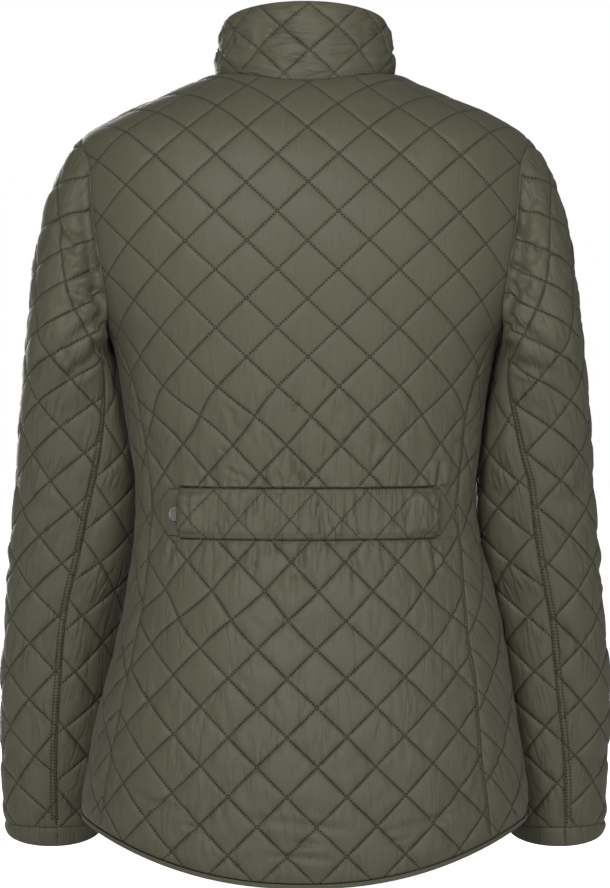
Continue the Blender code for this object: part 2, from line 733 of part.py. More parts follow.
def body_seams():
    """Every seam and edge line of the body, by name."""
    found = {}
    found["neck_right"], rest = split_at(neck_path(), SHOULDER_SEAM_Y, 1)
    found["neck_back"], found["neck_left"] = split_at(rest, SHOULDER_SEAM_Y, 1)
    sides = {1: side_line(1), -1: side_line(-1)}
    found["hem_right"], rest = split_at(hem_path(), sides[-1][0, 1], 1)
    found["hem_back"], found["hem_left"] = split_at(rest, sides[1][0, 1], 1)
    sides[-1][0], sides[1][0] = found["hem_back"][0], found["hem_left"][0]
    neck_ends = {1: found["neck_left"][0], -1: found["neck_back"][0]}
    for side, word in ((1, "left"), (-1, "right")):
        hole, top = armhole_line(side)
        sides[side][-1] = hole[0]
        x = np.linspace(neck_ends[side][0], hole[top, 0], 60)
        y = np.full(60, SHOULDER_SEAM_Y)
        shoulder = np.stack([x, y, roof(x, y)], axis=1)
        shoulder[0], shoulder[-1] = neck_ends[side], hole[top]
        found["side_" + word], found["shoulder_" + word] = sides[side], shoulder
        found["hole_front_" + word], found["hole_back_" + word] = hole[: top + 1], hole[top:]
    return {name: stations(line) for name, line in found.items()}


BACK, FRONT = body_cloth(False), body_cloth(True)
LEFT_FRONT = FRONT.sunk(lambda u: underlap(u))
SLEEVES = {1: sleeve_cloth()}
SLEEVES[-1] = SLEEVES[1].mirrored()
NECK_HALF = lengths(neck_line(1))[-1]
COLLAR = collar_cloth()
SUNK_COLLAR = COLLAR.sunk(lambda u: underlap(NECK_HALF - u))
SEAMS = body_seams()


def sleeve_shares(side, word):
    """The armhole's stations and how far round the armhole each is."""
    points = np.concatenate([SEAMS["hole_front_" + word], SEAMS["hole_back_" + word][1:]])
    hole, _ = armhole_line(side)
    far = lengths(hole)
    nearest = [np.linalg.norm(hole - p, axis=1).argmin() for p in points]
    shares = far[nearest] / far[-1]
    shares[-1] = 1.0
    return points, shares


def cap_flat(shares):
    """The sleeve head's edge on the flat cloth."""
    girth = sleeve_girth(SLEEVE_TOP)
    rise = [lengths(sleeve_head(min(s, 0.99999)))[-1] for s in shares]
    return np.stack([(shares - 0.5) * girth, rise], axis=1)


LEANS = {}  # each seam's lean: the direction in which both pieces' walls have their thickness
for word, side in (("left", 1), ("right", -1)):
    hole_points, hole_shares = sleeve_shares(side, word)
    both = unit(body_normal(hole_points) + SLEEVES[side].normal(*cap_flat(hole_shares).T))
    both[-1] = both[0]
    split = len(SEAMS["hole_front_" + word])
    LEANS["hole_front_" + word], LEANS["hole_back_" + word] = both[:split], both[split - 1 :]
collar_u = {}
for name in ("neck_right", "neck_back", "neck_left"):
    path = neck_path()
    far = lengths(path)
    nearest = [np.linalg.norm(path - p, axis=1).argmin() for p in SEAMS[name]]
    collar_u[name] = far[nearest] - far[-1] / 2
collar_u["neck_right"][0], collar_u["neck_left"][-1] = -NECK_HALF - OVERLAP, NECK_HALF + OVERLAP
for name, u in collar_u.items():
    LEANS[name] = unit(body_normal(SEAMS[name]) + COLLAR.normal(u, 0 * u))


def seam(name, from_front, backwards=False, sunk=False):
    """A seam as an edge of the back or of a front."""
    points = SEAMS[name]
    lean = LEANS.get(name)
    lean = body_normal(points) if lean is None else lean
    us = across(points, from_front)
    flat = (FRONT if from_front else BACK).flat(us, points)
    places = points - lean * underlap(us)[:, None] if sunk else points
    order = slice(None, None, -1) if backwards else slice(None)
    return Edge(flat[order], places[order], lean[order])


def straight(start, end, spacing=STATION):
    """A free edge, straight on the flat cloth."""
    count = max(1, round(float(np.linalg.norm(np.subtract(end, start))) / spacing))
    return Edge(np.linspace(start, end, count + 1))


# ---- The pieces ----


def cloth_material(name, colour, roughness=0.55, metallic=0.0):
    made = bpy.data.materials.new(name)
    made.use_nodes = True
    shader = made.node_tree.nodes["Principled BSDF"]
    shader.inputs["Base Color"].default_value = (*colour, 1)
    shader.inputs["Roughness"].default_value = roughness
    shader.inputs["Metallic"].default_value = metallic
    return made


def near_arm(u, v):
    """Puff of the body's quilting: pressed flat under the arm."""
    beside = ease((np.abs(u) - ARM_U) / ARM_U_EASE) * ease((v - ARM_V) / ARM_V_EASE)
    return 1 - ARM_PRESS * beside


def back_drift(v):
    """The back's stitching shifts a little sideways from the shoulders to the hem."""
    return DRIFT_TOP + DRIFT * ease(-v / DRIFT_HEIGHT)


def waist_flat(x, level):
    """(u, v) of a point of the back given as seen from behind."""
    point = np.array([[x, float(back_y(np.array(x), np.array(level))), level]])
    return BACK.flat(across(point, False), point)[0]


WAIST_LEVEL = (CASING_TOP + CASING_FOOT) / 2
WAIST_V = waist_flat(0.0, WAIST_LEVEL)[1]
CASING_HALF = (CASING_TOP - CASING_FOOT) / 2
CASING_U = [waist_flat(x, WAIST_LEVEL)[0] for x in CASING_ENDS]
TIP_U = {side: waist_flat(x, WAIST_LEVEL)[0] for side, x in TAB_TIPS.items()}


def waist_net():
    """Points of the back that the casing and the tabs are made from, moved out."""
    us = GATHER * np.arange(math.floor(TIP_U[-1] / GATHER) - 1, math.ceil(TIP_U[1] / GATHER) + 2)
    vs = WAIST_V + CASING_HALF * np.array(WAIST_ROWS)
    return np.array([(u, v) for u in us for v in vs])


def at_waist(flat):
    wide = (flat[:, 0] > TIP_U[-1] - WAIST_SIDE) & (flat[:, 0] < TIP_U[1] + WAIST_SIDE)
    return wide & (np.abs(flat[:, 1] - WAIST_V) < CASING_HALF + WAIST_MARGIN)


def make_back(material):
    edges = [
        seam("hem_back", False),
        seam("side_left", False),
        seam("hole_back_left", False, backwards=True),
        seam("shoulder_left", False, backwards=True),
        seam("neck_back", False, backwards=True),
        seam("shoulder_right", False),
        seam("hole_back_right", False),
        seam("side_right", False, backwards=True),
    ]
    quilt = Quilt(DIAMOND, BODY_CROSSING, back_drift, near_arm)
    panel("back", BACK, edges, quilt, WALL, material, waist_net(), at_waist)


def make_fronts(material):
    quilt = Quilt(DIAMOND, BODY_CROSSING, puff=near_arm)
    hem, neck = (seam(name, True, sunk=True) for name in ("hem_left", "neck_left"))
    edges = [
        seam("hem_left", True, backwards=True, sunk=True),
        seam("side_left", True),
        seam("hole_front_left", True),
        seam("shoulder_left", True, backwards=True),
        neck,
        straight(neck.flat[-1], hem.flat[-1]),
    ]
    panel("front_left", LEFT_FRONT, edges, quilt, WALL, material)
    hem, neck = (seam(name, True) for name in ("hem_right", "neck_right"))
    edges = [
        seam("hem_right", True, backwards=True),
        straight(hem.flat[0], neck.flat[0]),
        seam("neck_right", True),
        seam("shoulder_right", True),
        seam("hole_front_right", True, backwards=True),
        seam("side_right", True, backwards=True),
    ]
    plain = lambda flat: flat[:, 0] > OVERLAP - PLACKET
    panel("front_right", FRONT, edges, quilt, WALL, material, placket_net(), plain)


def front_snap_vs():
    return np.linspace(FRONT_SNAP_TOP, FRONT_SNAP_FOOT, FRONT_SNAPS)


def placket_net():
    """The plain strip's stitch line and a level seat for each of its snaps."""
    stitches = [(OVERLAP - PLACKET, v) for v in np.arange(*PLACKET_VS, STATION)]
    turn = run(0, 2 * math.pi, 6)[:-1]
    ring = np.stack([np.cos(turn), np.sin(turn)], axis=1) * (FRONT_SNAP_RADIUS + SEAT_MARGIN)
    seats = [ring + (0, v) for v in front_snap_vs()]
    return np.concatenate([stitches, *seats])


def make_collar(material):
    order = ("neck_right", "neck_back", "neck_left")
    u = np.concatenate([collar_u[order[0]][:-1], collar_u[order[1]][:-1], collar_u[order[2]]])
    points = np.concatenate([SEAMS[order[0]][:-1], SEAMS[order[1]][:-1], SEAMS[order[2]]])
    lean = np.concatenate([LEANS[order[0]][:-1], LEANS[order[1]][:-1], LEANS[order[2]]])
    places = points - lean * underlap(NECK_HALF - u)[:, None]
    heights = {at: collar_height(at) for at in (u[0], u[-1])}
    top_u = run(u[-1], u[0], 26)
    top = np.stack([top_u, [collar_height(at) for at in top_u]], axis=1)
    edges = [
        Edge(np.stack([u, 0 * u], axis=1), places, lean),
        straight((u[-1], 0), (u[-1], heights[u[-1]]), 20),
        Edge(top),
        straight((u[0], heights[u[0]]), (u[0], 0), 20),
    ]
    quilt = Quilt(COLLAR_DIAMOND, COLLAR_CROSSING)
    panel("collar", SUNK_COLLAR, edges, quilt, WALL, material)


def collar_height(u):
    """How high the collar stands at a place on its seam."""
    path = neck_path()
    far = lengths(path)
    base = np.array([[np.interp(u, far - far[-1] / 2, path[:, k]) for k in range(3)]])
    return float(np.linalg.norm(collar_top(base) - base)) + COLLAR_EDGE


def sleeve_v(level):
    """v of a level below the sleeve's top ring."""
    z = SLEEVE_LEVELS
    middle = lengths(np.stack([sleeve_columns[0](z), sleeve_columns[1](z), z], axis=1))
    return np.interp(level, z, middle - middle[-1])


def sleeve_edge(foot, high, side, count):
    """The sleeve's two edges at its seam, from the foot's flat points up, as points of the form."""
    v = run(foot[0, 1], sleeve_v(high), count)
    level = np.interp(v, sleeve_v(SLEEVE_LEVELS), SLEEVE_LEVELS)
    half = np.array([sleeve_girth(z) / 2 for z in level])
    half[0] = foot[-1, 0]
    left = np.stack([-half, v], axis=1)
    cloth = SLEEVES[side]
    places, lean = cloth.place(*left.T), cloth.normal(*left.T)
    return left, np.stack([half, v], axis=1), places, lean


def sleeve_ring_edge(level, side, count=14):
    """The cuff's seam or its edge, from one side of the sleeve's seam round to the other."""
    flat = []
    for share in run(0, 1, count):
        y = on_sleeve_ring(level, share)[1]
        to_back = (y - sleeve_columns[1](level)) / sleeve_columns[3](level)
        sides, front = CUFF_RISE[level]
        here = level + (sides * (1 - to_back) if to_back > 0 else sides - (front - sides) * to_back)
        flat.append(((share - 0.5) * sleeve_girth(here), sleeve_v(here)))
    flat = np.array(flat)
    cloth = SLEEVES[side]
    places, lean = cloth.place(*flat.T), cloth.normal(*flat.T)
    places[-1], lean[-1] = places[0], lean[0]
    return flat, places, lean


def make_sleeve(side, word, material):
    cloth = SLEEVES[side]
    points, shares = sleeve_shares(side, word)
    cap = cap_flat(shares)
    lean = np.concatenate([LEANS["hole_front_" + word], LEANS["hole_back_" + word][1:]])
    foot = sleeve_ring_edge(CUFF_SEAM, side)
    left, right, places, tilt = sleeve_edge(foot[0], SLEEVE_TOP, side, 16)
    join = (cap[0], cap[-1])
    left, right = np.vstack([left, join[0]]), np.vstack([right, join[1]])
    places, tilt = np.vstack([places, points[0]]), np.vstack([tilt, lean[0]])
    edges = [
        Edge(*foot),
        Edge(right, places, tilt),
        Edge(cap[::-1], points[::-1], lean[::-1]),
        Edge(left[::-1], places[::-1], tilt[::-1]),
    ]
    quilt = Quilt(DIAMOND, SLEEVE_CROSSING, puff=near_body)
    panel("sleeve_" + word, cloth, edges, quilt, WALL, material)


def near_body(u, v):
    """Puff of the sleeve's quilting: pressed flat against the body."""
    left = SLEEVES[1].place(np.atleast_1d(u), np.atleast_1d(v))[0]
    gap = left[0] - side_x(left[1], left[2], 1)
    return float(np.clip((gap - PRESS_GAP) / PRESS_EASE, LEAST_PUFF, 1))


def make_cuff(side, word, material):
    foot, top = (sleeve_ring_edge(level, side) for level in (CUFF_EDGE, CUFF_SEAM))
    ends = [np.stack([low, high]) for low, high in ((f[-1], t[-1]) for f, t in zip(foot, top))]
    starts = [np.stack([high, low]) for low, high in ((f[0], t[0]) for f, t in zip(foot, top))]
    edges = [Edge(*foot), Edge(*ends), Edge(*(part[::-1] for part in top)), Edge(*starts)]
    panel("cuff_band_" + word, SLEEVES[side], edges, None, WALL, material)


def make_binding(material):
    """A narrow bound edge, swept along the hem from one front's edge to the other's."""
    parts = [seam("hem_right", True), seam("hem_back", False), seam("hem_left", True, sunk=True)]
    line = np.concatenate([parts[0].places[:-1], parts[1].places[:-1], parts[2].places])
    lean = np.concatenate([parts[0].lean[:-1], parts[1].lean[:-1], parts[2].lean])
    way = unit(np.gradient(line, axis=0))
    down = unit(np.cross(way, lean))
    down *= np.where(down[:, 2] > 0, -1, 1)[:, None]
    high, low = SEAM_GAP, SEAM_GAP + BINDING_HEIGHT
    out, back = BINDING_PROUD, -WALL - BINDING_PROUD
    corners = ((out, high), (out, low), (back, low), (back, high))
    rows = [[p + n * a + d * b for a, b in corners] for p, n, d in zip(line, lean, down)]
    k, last = len(corners), len(rows) - 1
    faces = [
        (r * k + i, r * k + (i + 1) % k, (r + 1) * k + (i + 1) % k, (r + 1) * k + i)
        for r in range(last)
        for i in range(k)
    ]
    faces += [tuple(range(k))[::-1], tuple(last * k + i for i in range(k))]
    piece("hem_binding", np.concatenate(rows), [face[::-1] for face in faces], material)


def make_casing(material):
    low_u, high_u = CASING_U
    inner = GATHER * np.arange(math.ceil((low_u + 2) / GATHER), math.floor((high_u - 2) / GATHER) + 1)
    us = np.concatenate([[low_u], inner, [high_u]])
    rows = WAIST_V + CASING_HALF * np.array([-1, -0.5, 0, 0.5, 1])
    low = np.stack([us, np.full(len(us), rows[0])], axis=1)
    high = np.stack([us, np.full(len(us), rows[-1])], axis=1)
    right = np.stack([np.full(len(rows), high_u), rows], axis=1)
    left = np.stack([np.full(len(rows), low_u), rows], axis=1)
    edges = [Edge(low), Edge(right), Edge(high[::-1]), Edge(left[::-1])]
    net = np.array([(u, v) for u in inner for v in rows[1:-1]])

    def lift(u, v):
        far = np.abs(u - (low_u + high_u) / 2) - (high_u - low_u) / 2 + MOUTH_LENGTH
        mouth = ease(far / MOUTH_EASE) * ease((TAB_HALF - np.abs(v - WAIST_V)) / MOUTH_SIDE)
        floor = LAID_GAP + MOUTH_LIFT * mouth
        gathers = GATHER_HEIGHT * (1 + np.cos(math.pi * u / GATHER)) / 2
        return floor, floor + CASING_WALL + gathers

    panel("waist_casing", BACK, edges, None, CASING_WALL, material, net, lift=lift)


def make_tab(side, word, material, metal):
    end, tip = CASING_U[(side + 1) // 2], TIP_U[side]
    corner = waist_flat(TAB_CORNERS[side], WAIST_LEVEL)[0]
    inner, step = end - side * TONGUE, end + side * TAB_STEP
    outline = [
        (inner, -TONGUE_HALF),
        (step, -TONGUE_HALF),
        (step, -TAB_HALF),
        (corner, -TAB_HALF),
        (tip, 0),
        (corner, TAB_HALF),
        (step, TAB_HALF),
        (step, TONGUE_HALF),
        (inner, TONGUE_HALF),
    ][::side]
    outline = np.array(outline) + (0, WAIST_V)
    edges = [straight(a, b, TAB_SPACING) for a, b in zip(outline, np.roll(outline, -1, axis=0))]
    us = np.arange(min(inner, tip) + EXTRA_MARGIN, max(inner, tip) - EXTRA_MARGIN, GATHER)
    vs = TAB_SPACING * np.arange(-2, 3)
    net = np.array([(u, WAIST_V + v) for u in us for v in vs])
    lift = lambda u, v: (LAID_GAP + 0 * u, LAID_GAP + TAB_WALL + 0 * u)
    panel("waist_tab_" + word, BACK, edges, None, TAB_WALL, material, net, lift=lift)
    at = waist_flat(TAB_SNAPS[side], WAIST_LEVEL)
    rise = 2 * LAID_GAP + TAB_WALL
    make_snap("tab_snap_" + word, BACK, at, rise, SNAP_RADIUS, SNAP_HEIGHT, metal)


def make_snap(name, cloth, at, rise, radius, height, material):
    """A snap's cap: a low drum with a rounded rim, standing on the cloth."""
    u, v = (np.array([x]) for x in at)
    place, normal = cloth.place(u, v)[0], cloth.normal(u, v)[0]
    middle = (place + normal * (rise + height / 2)) * METRES
    bpy.ops.mesh.primitive_cylinder_add(
        vertices=SNAP_SIDES, radius=radius * METRES, depth=height * METRES, location=middle
    )
    made = bpy.context.object
    made.name = made.data.name = name
    made.rotation_euler = Vector(normal).to_track_quat("Z", "Y").to_euler()
    rim = made.modifiers.new("rim", "BEVEL")
    rim.width, rim.segments, rim.limit_method = SNAP_RIM * METRES, 1, "ANGLE"
    made.data.materials.append(material)


def main():
    for old in list(bpy.data.objects):
        bpy.data.objects.remove(old)
    quilted = cloth_material("quilted_nylon", (0.118, 0.113, 0.080))
    plain = cloth_material("plain_nylon", (0.105, 0.101, 0.074))
    metal = cloth_material("snap_metal", (0.60, 0.60, 0.57), roughness=0.35, metallic=1.0)
    make_back(quilted)
    make_fronts(quilted)
    make_collar(quilted)
    for side, word in ((1, "left"), (-1, "right")):
        make_sleeve(side, word, quilted)
        make_cuff(side, word, plain)
    make_binding(plain)
    make_casing(quilted)
    for side, word in ((1, "left"), (-1, "right")):
        make_tab(side, word, plain, metal)
    for k, v in enumerate(front_snap_vs(), 1):
        size = (FRONT_SNAP_RADIUS, FRONT_SNAP_HEIGHT)
        make_snap(f"front_snap_{k}", FRONT, (0.0, v), LAID_GAP, *size, metal)


main()
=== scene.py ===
# %% [markdown]
# # A quilted jacket, sewn from flat cloth
# The jacket is a light nylon one: two layers of cloth with thin wadding between them, stitched
# together in diamonds. It stands filled out, as if somebody wore it.
# A jacket could be sculpted, or draped by a simulation. Here it is cut and sewn in code, as a maker
# would: each piece has a flat cut, in millimetres across (u) and up (v), and a form that it is laid
# on. So the quilting, the seams and the creases are worked out on flat cloth, where they are simple.
# First the frame: the model's solids, which say where every piece goes.
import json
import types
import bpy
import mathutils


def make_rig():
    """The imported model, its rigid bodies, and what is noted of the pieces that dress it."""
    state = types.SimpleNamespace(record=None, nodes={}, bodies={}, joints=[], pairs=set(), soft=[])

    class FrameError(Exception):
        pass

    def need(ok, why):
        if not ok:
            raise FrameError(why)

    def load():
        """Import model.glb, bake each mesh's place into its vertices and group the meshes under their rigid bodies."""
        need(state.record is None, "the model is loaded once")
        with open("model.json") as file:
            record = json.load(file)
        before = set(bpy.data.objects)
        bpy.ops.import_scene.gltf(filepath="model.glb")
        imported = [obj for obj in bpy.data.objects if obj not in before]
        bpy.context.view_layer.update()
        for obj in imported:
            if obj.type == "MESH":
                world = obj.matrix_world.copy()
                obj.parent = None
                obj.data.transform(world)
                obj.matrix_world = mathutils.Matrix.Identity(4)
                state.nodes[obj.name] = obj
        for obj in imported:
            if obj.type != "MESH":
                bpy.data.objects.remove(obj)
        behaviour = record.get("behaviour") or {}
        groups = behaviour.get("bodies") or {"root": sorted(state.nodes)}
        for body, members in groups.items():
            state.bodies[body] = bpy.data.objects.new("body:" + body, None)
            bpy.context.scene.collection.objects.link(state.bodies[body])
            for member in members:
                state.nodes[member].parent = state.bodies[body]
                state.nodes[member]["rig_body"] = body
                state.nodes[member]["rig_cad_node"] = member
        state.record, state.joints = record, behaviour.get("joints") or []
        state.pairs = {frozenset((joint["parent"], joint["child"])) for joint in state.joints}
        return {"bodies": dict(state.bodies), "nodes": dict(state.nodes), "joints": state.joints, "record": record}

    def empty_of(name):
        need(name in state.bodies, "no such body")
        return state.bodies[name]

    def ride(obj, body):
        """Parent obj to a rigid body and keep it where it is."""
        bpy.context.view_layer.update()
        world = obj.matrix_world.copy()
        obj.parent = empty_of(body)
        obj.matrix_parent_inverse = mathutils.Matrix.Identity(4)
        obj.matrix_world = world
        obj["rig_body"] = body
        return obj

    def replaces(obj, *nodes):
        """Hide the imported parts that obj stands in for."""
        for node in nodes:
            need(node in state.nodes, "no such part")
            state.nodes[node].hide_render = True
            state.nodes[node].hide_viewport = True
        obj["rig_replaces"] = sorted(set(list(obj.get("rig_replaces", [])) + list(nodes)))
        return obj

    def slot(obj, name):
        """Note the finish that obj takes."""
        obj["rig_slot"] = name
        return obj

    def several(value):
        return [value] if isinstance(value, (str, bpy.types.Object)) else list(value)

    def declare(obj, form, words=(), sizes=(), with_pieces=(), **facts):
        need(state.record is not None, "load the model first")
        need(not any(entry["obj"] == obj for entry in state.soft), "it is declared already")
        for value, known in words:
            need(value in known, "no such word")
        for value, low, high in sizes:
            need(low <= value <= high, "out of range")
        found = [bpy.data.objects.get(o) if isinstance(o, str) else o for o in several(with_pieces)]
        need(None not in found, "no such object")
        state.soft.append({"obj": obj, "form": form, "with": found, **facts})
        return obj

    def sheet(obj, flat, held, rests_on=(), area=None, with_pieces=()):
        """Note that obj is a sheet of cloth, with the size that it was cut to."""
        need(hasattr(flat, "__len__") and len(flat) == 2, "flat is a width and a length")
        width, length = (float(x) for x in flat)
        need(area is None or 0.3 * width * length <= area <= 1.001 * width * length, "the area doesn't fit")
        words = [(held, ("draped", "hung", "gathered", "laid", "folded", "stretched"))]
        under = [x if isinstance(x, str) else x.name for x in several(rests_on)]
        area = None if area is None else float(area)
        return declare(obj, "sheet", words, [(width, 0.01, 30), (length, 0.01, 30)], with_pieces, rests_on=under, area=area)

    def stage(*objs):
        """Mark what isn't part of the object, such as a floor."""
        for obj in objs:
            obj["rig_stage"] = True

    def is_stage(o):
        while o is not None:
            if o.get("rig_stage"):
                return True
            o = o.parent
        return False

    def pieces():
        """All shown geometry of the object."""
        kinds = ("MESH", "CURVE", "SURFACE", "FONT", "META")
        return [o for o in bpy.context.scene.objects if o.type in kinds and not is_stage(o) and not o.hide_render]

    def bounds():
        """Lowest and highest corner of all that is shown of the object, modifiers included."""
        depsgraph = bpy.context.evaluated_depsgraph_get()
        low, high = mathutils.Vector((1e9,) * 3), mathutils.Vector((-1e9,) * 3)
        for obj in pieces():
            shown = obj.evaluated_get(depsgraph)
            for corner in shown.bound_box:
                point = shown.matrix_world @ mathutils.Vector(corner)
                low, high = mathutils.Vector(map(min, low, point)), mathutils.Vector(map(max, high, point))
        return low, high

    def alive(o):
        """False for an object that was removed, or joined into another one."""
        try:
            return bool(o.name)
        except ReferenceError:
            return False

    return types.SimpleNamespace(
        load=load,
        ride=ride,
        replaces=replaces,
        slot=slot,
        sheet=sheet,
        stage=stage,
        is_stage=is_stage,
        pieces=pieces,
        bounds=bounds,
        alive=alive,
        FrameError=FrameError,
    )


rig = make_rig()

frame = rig.load()

import json
import math

import bpy
import numpy as np
from mathutils import Vector
from mathutils.geometry import delaunay_2d_cdt

CAD_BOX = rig.bounds()
METRES = 0.001  # the cloth is worked out in millimetres, and meshes are in metres
SIDES = (("left", 1), ("right", -1))  # the wearer's, and the sign of x there
print("solids:", len(frame["nodes"]), "box:", [tuple(round(x, 3) for x in p) for p in CAD_BOX])

# %% [markdown]
# ## The body's form
# The form under the cloth is a stack of outlines, one for each level, from the hem to the neck. Each
# is a rounded box: its half widths, its depths to the back and to the front, and how square it is.
# Meshing such a table by hand would take thousands of points. A smooth curve through each column
# gives the form at any level.

# %% Table of the body's levels
BODY = np.array(
    [  # level, left half width, right half width, back depth, front depth, squareness
        (12, 58, 58, 50, 28, 2.00),
        (2, 78, 78, 59, 37, 2.00),
        (-6, 96, 96, 63.5, 43, 2.04),
        (-20, 129, 129, 77, 53, 2.10),
        (-38, 170, 170, 90, 64, 2.18),
        (-53, 194, 194, 98, 73, 2.25),
        (-75, 203, 203, 106, 87, 2.28),
        (-100, 206, 206, 112, 100, 2.30),
        (-140, 204, 204, 117, 115, 2.35),
        (-180, 196, 196, 117, 123, 2.35),
        (-214, 180, 180, 115, 125, 2.33),
        (-231, 170.5, 170.5, 114, 125, 2.32),
        (-258, 163.5, 163.5, 112, 123, 2.30),
        (-284, 159, 158, 110, 120, 2.28),
        (-311, 154, 153.5, 108, 116, 2.27),
        (-337, 149, 150, 107, 113, 2.26),
        (-363, 147, 148.5, 106, 111, 2.25),
        (-390, 147.5, 150, 107, 111, 2.25),
        (-425, 151, 156, 111, 114, 2.24),
        (-460, 157, 167, 117, 119, 2.22),
        (-500, 165, 175, 124, 125, 2.21),
        (-534, 175, 180.5, 130, 129, 2.20),
        (-572, 184, 185.5, 136, 133, 2.20),
        (-603, 189.5, 190, 140, 136, 2.20),
        (-645, 195, 194, 144, 139, 2.20),
        (-740, 200, 198, 147, 142, 2.20),
    ]
)[::-1]
SHOULDER_LEVEL, CHEST_LEVEL, ZERO_LEVEL = -60.0, -205.0, -215.0
SHOULDER_SEAM_Y = -12.0
SIDE_SEAM = np.array(
    [  # level, x of the left seam, x of the right seam, both as seen from behind
        (-219, 173.0, -173.0),
        (-260, 154.0, -152.0),
        (-311, 142.0, -139.0),
        (-343, 137.0, -136.0),
        (-376, 134.5, -133.0),
        (-414, 137.0, -136.5),
        (-460, 141.5, -139.5),
        (-492, 148.0, -142.5),
        (-524, 155.0, -148.0),
        (-556, 161.5, -150.5),
        (-600, 170.0, -154.0),
        (-630, 175.0, -158.0),
        (-680, 181.0, -163.0),
    ]
)[::-1]
ARMHOLE = np.array(
    [  # y, level, from the side seam forward, up over the shoulder and back down
        (34, -219),
        (0, -229),
        (-30, -224),
        (-52, -206),
        (-62, -175),
        (-59, -135),
        (-51, -98),
        (-36, -70),
        (SHOULDER_SEAM_Y, -54),
        (18, -57),
        (45, -74),
        (57, -99),
        (64, -140),
        (64, -178),
        (53, -205),
    ]
)
ARMHOLE_TOP = 8  # the row of ARMHOLE where the shoulder seam ends
NECK_HALF_WIDTH, NECK_BACK, NECK_FRONT = 79.0, 65.0, 67.0
HEM_SIDE_LEVEL, HEM_BACK_DROP, HEM_FRONT_DROP, HEM_SCOOP = -647.0, 49.0, 26.0, 2.4
OVERLAP, UNDERLAP_DEPTH, UNDERLAP_EASE, PLACKET = 15.0, 6.5, 70.0, 36.0
print("levels of the body:", len(BODY), "from", BODY[0, 0], "to", BODY[-1, 0], "mm")


# %% Curves, lengths and directions
def through(rows, column):
    """A smooth curve through a table's column, as a function of its first column."""
    knots, values = rows[:, 0], rows[:, column]
    slopes = np.gradient(values, knots)

    def curve(at):
        at = np.clip(at, knots[0], knots[-1])
        i = np.clip(np.searchsorted(knots, at) - 1, 0, len(knots) - 2)
        span = knots[i + 1] - knots[i]
        t = (at - knots[i]) / span
        start = (2 * t**3 - 3 * t**2 + 1) * values[i] + (t**3 - 2 * t**2 + t) * span * slopes[i]
        end = (3 * t**2 - 2 * t**3) * values[i + 1] + (t**3 - t**2) * span * slopes[i + 1]
        return start + end

    return curve


def ease(x):
    """From 0 to 1, gently at both ends."""
    x = np.clip(x, 0, 1)
    return x * x * (3 - 2 * x)


def unit(vectors):
    return vectors / np.maximum(np.linalg.norm(vectors, axis=-1, keepdims=True), 1e-9)


def crossed(*axes):
    """Every pair of the values of two axes, as two flat lists."""
    return (values.ravel() for values in np.meshgrid(*axes, indexing="ij"))


def lengths(points):
    """How far along a line each of its points is."""
    steps = np.linalg.norm(np.diff(points, axis=0), axis=1)
    return np.concatenate([[0], np.cumsum(steps)])


def along(points, at):
    """Points at the given distances along a line."""
    far = lengths(points)
    return np.stack([np.interp(at, far, points[:, k]) for k in range(points.shape[1])], axis=1)


def smooth_line(points, per_span=12, closed=False):
    """A Catmull-Rom curve through the points."""
    n = len(points)
    index = np.arange(n if closed else n - 1)
    near = (lambda k: k % n) if closed else (lambda k: np.clip(k, 0, n - 1))
    a, b, c, d = (points[near(index + k)][:, None] for k in (-1, 0, 1, 2))
    t = (np.arange(per_span) / per_span)[None, :, None]
    curve = 0.5 * (2 * b + (c - a) * t + (2 * a - 5 * b + 4 * c - d) * t**2 + (3 * b - a - 3 * c + d) * t**3)
    last = points[:1] if closed else points[-1:]
    return np.concatenate([curve.reshape(-1, points.shape[1]), last])


print("halfway along a gentle start and end:", ease(0.5))

# %% The body's surface
left_half, right_half, back_depth, front_depth, squareness = (through(BODY, k) for k in range(1, 6))
TURNS = np.linspace(0, math.pi, 241)  # from the middle of the back round one side to the front's


def half_width(z, side):
    return left_half(z) if side > 0 else right_half(z)


def width(x, z):
    """The half width on the side where x is."""
    return np.where(x >= 0, left_half(z), right_half(z))


def depth(z, y):
    """The depth to the back or to the front, where y is."""
    return np.where(y >= 0, back_depth(z), front_depth(z))


def side_x(y, z, side):
    """x of the body's surface at a point seen from the side."""
    n = squareness(z)
    inside = np.clip(1 - (np.abs(y) / depth(z, y)) ** n, 0, 1)
    return side * half_width(z, side) * inside ** (1 / n)


def back_y(x, z):
    """y of the back's surface at a point seen from behind."""
    n = squareness(z)
    return back_depth(z) * np.clip(1 - (np.abs(x) / width(x, z)) ** n, 0, 1) ** (1 / n)


def outside(x, y, z):
    """Below 0 inside the body, above 0 outside."""
    n = squareness(z)
    return (np.abs(x) / width(x, z)) ** n + (np.abs(y) / depth(z, y)) ** n - 1


def roof(x, y):
    """The level of the shoulders' surface over a point seen from above."""
    low, high = np.full(np.shape(x), -200.0), np.full(np.shape(x), 12.0)
    for _ in range(40):
        middle = (low + high) / 2
        inside = outside(x, y, middle) < 0
        low, high = np.where(inside, middle, low), np.where(inside, high, middle)
    return low


def body_normal(points, step=0.5):
    slope = [outside(*(points + step * way).T) - outside(*(points - step * way).T) for way in np.eye(3)]
    return unit(np.stack(slope, axis=1))


def half_round(z, side):
    """x and y from the middle of the back round one side to the front's, at one level or at many."""
    n = squareness(z)
    y = np.sign(np.cos(TURNS)) * np.abs(np.cos(TURNS)) ** (2 / n)
    return side * half_width(z, side) * np.sin(TURNS) ** (2 / n), y * depth(z, y)


def ring(z, side):
    """Half of the body's outline at a level, and how far round it each point is on the cloth."""
    x, y = half_round(z, side)
    all_round = ease((SHOULDER_LEVEL - z) / (SHOULDER_LEVEL - CHEST_LEVEL))
    steps = np.sqrt(np.diff(x) ** 2 + all_round * np.diff(y) ** 2)
    return x, y, np.concatenate([[0], np.cumsum(steps)])


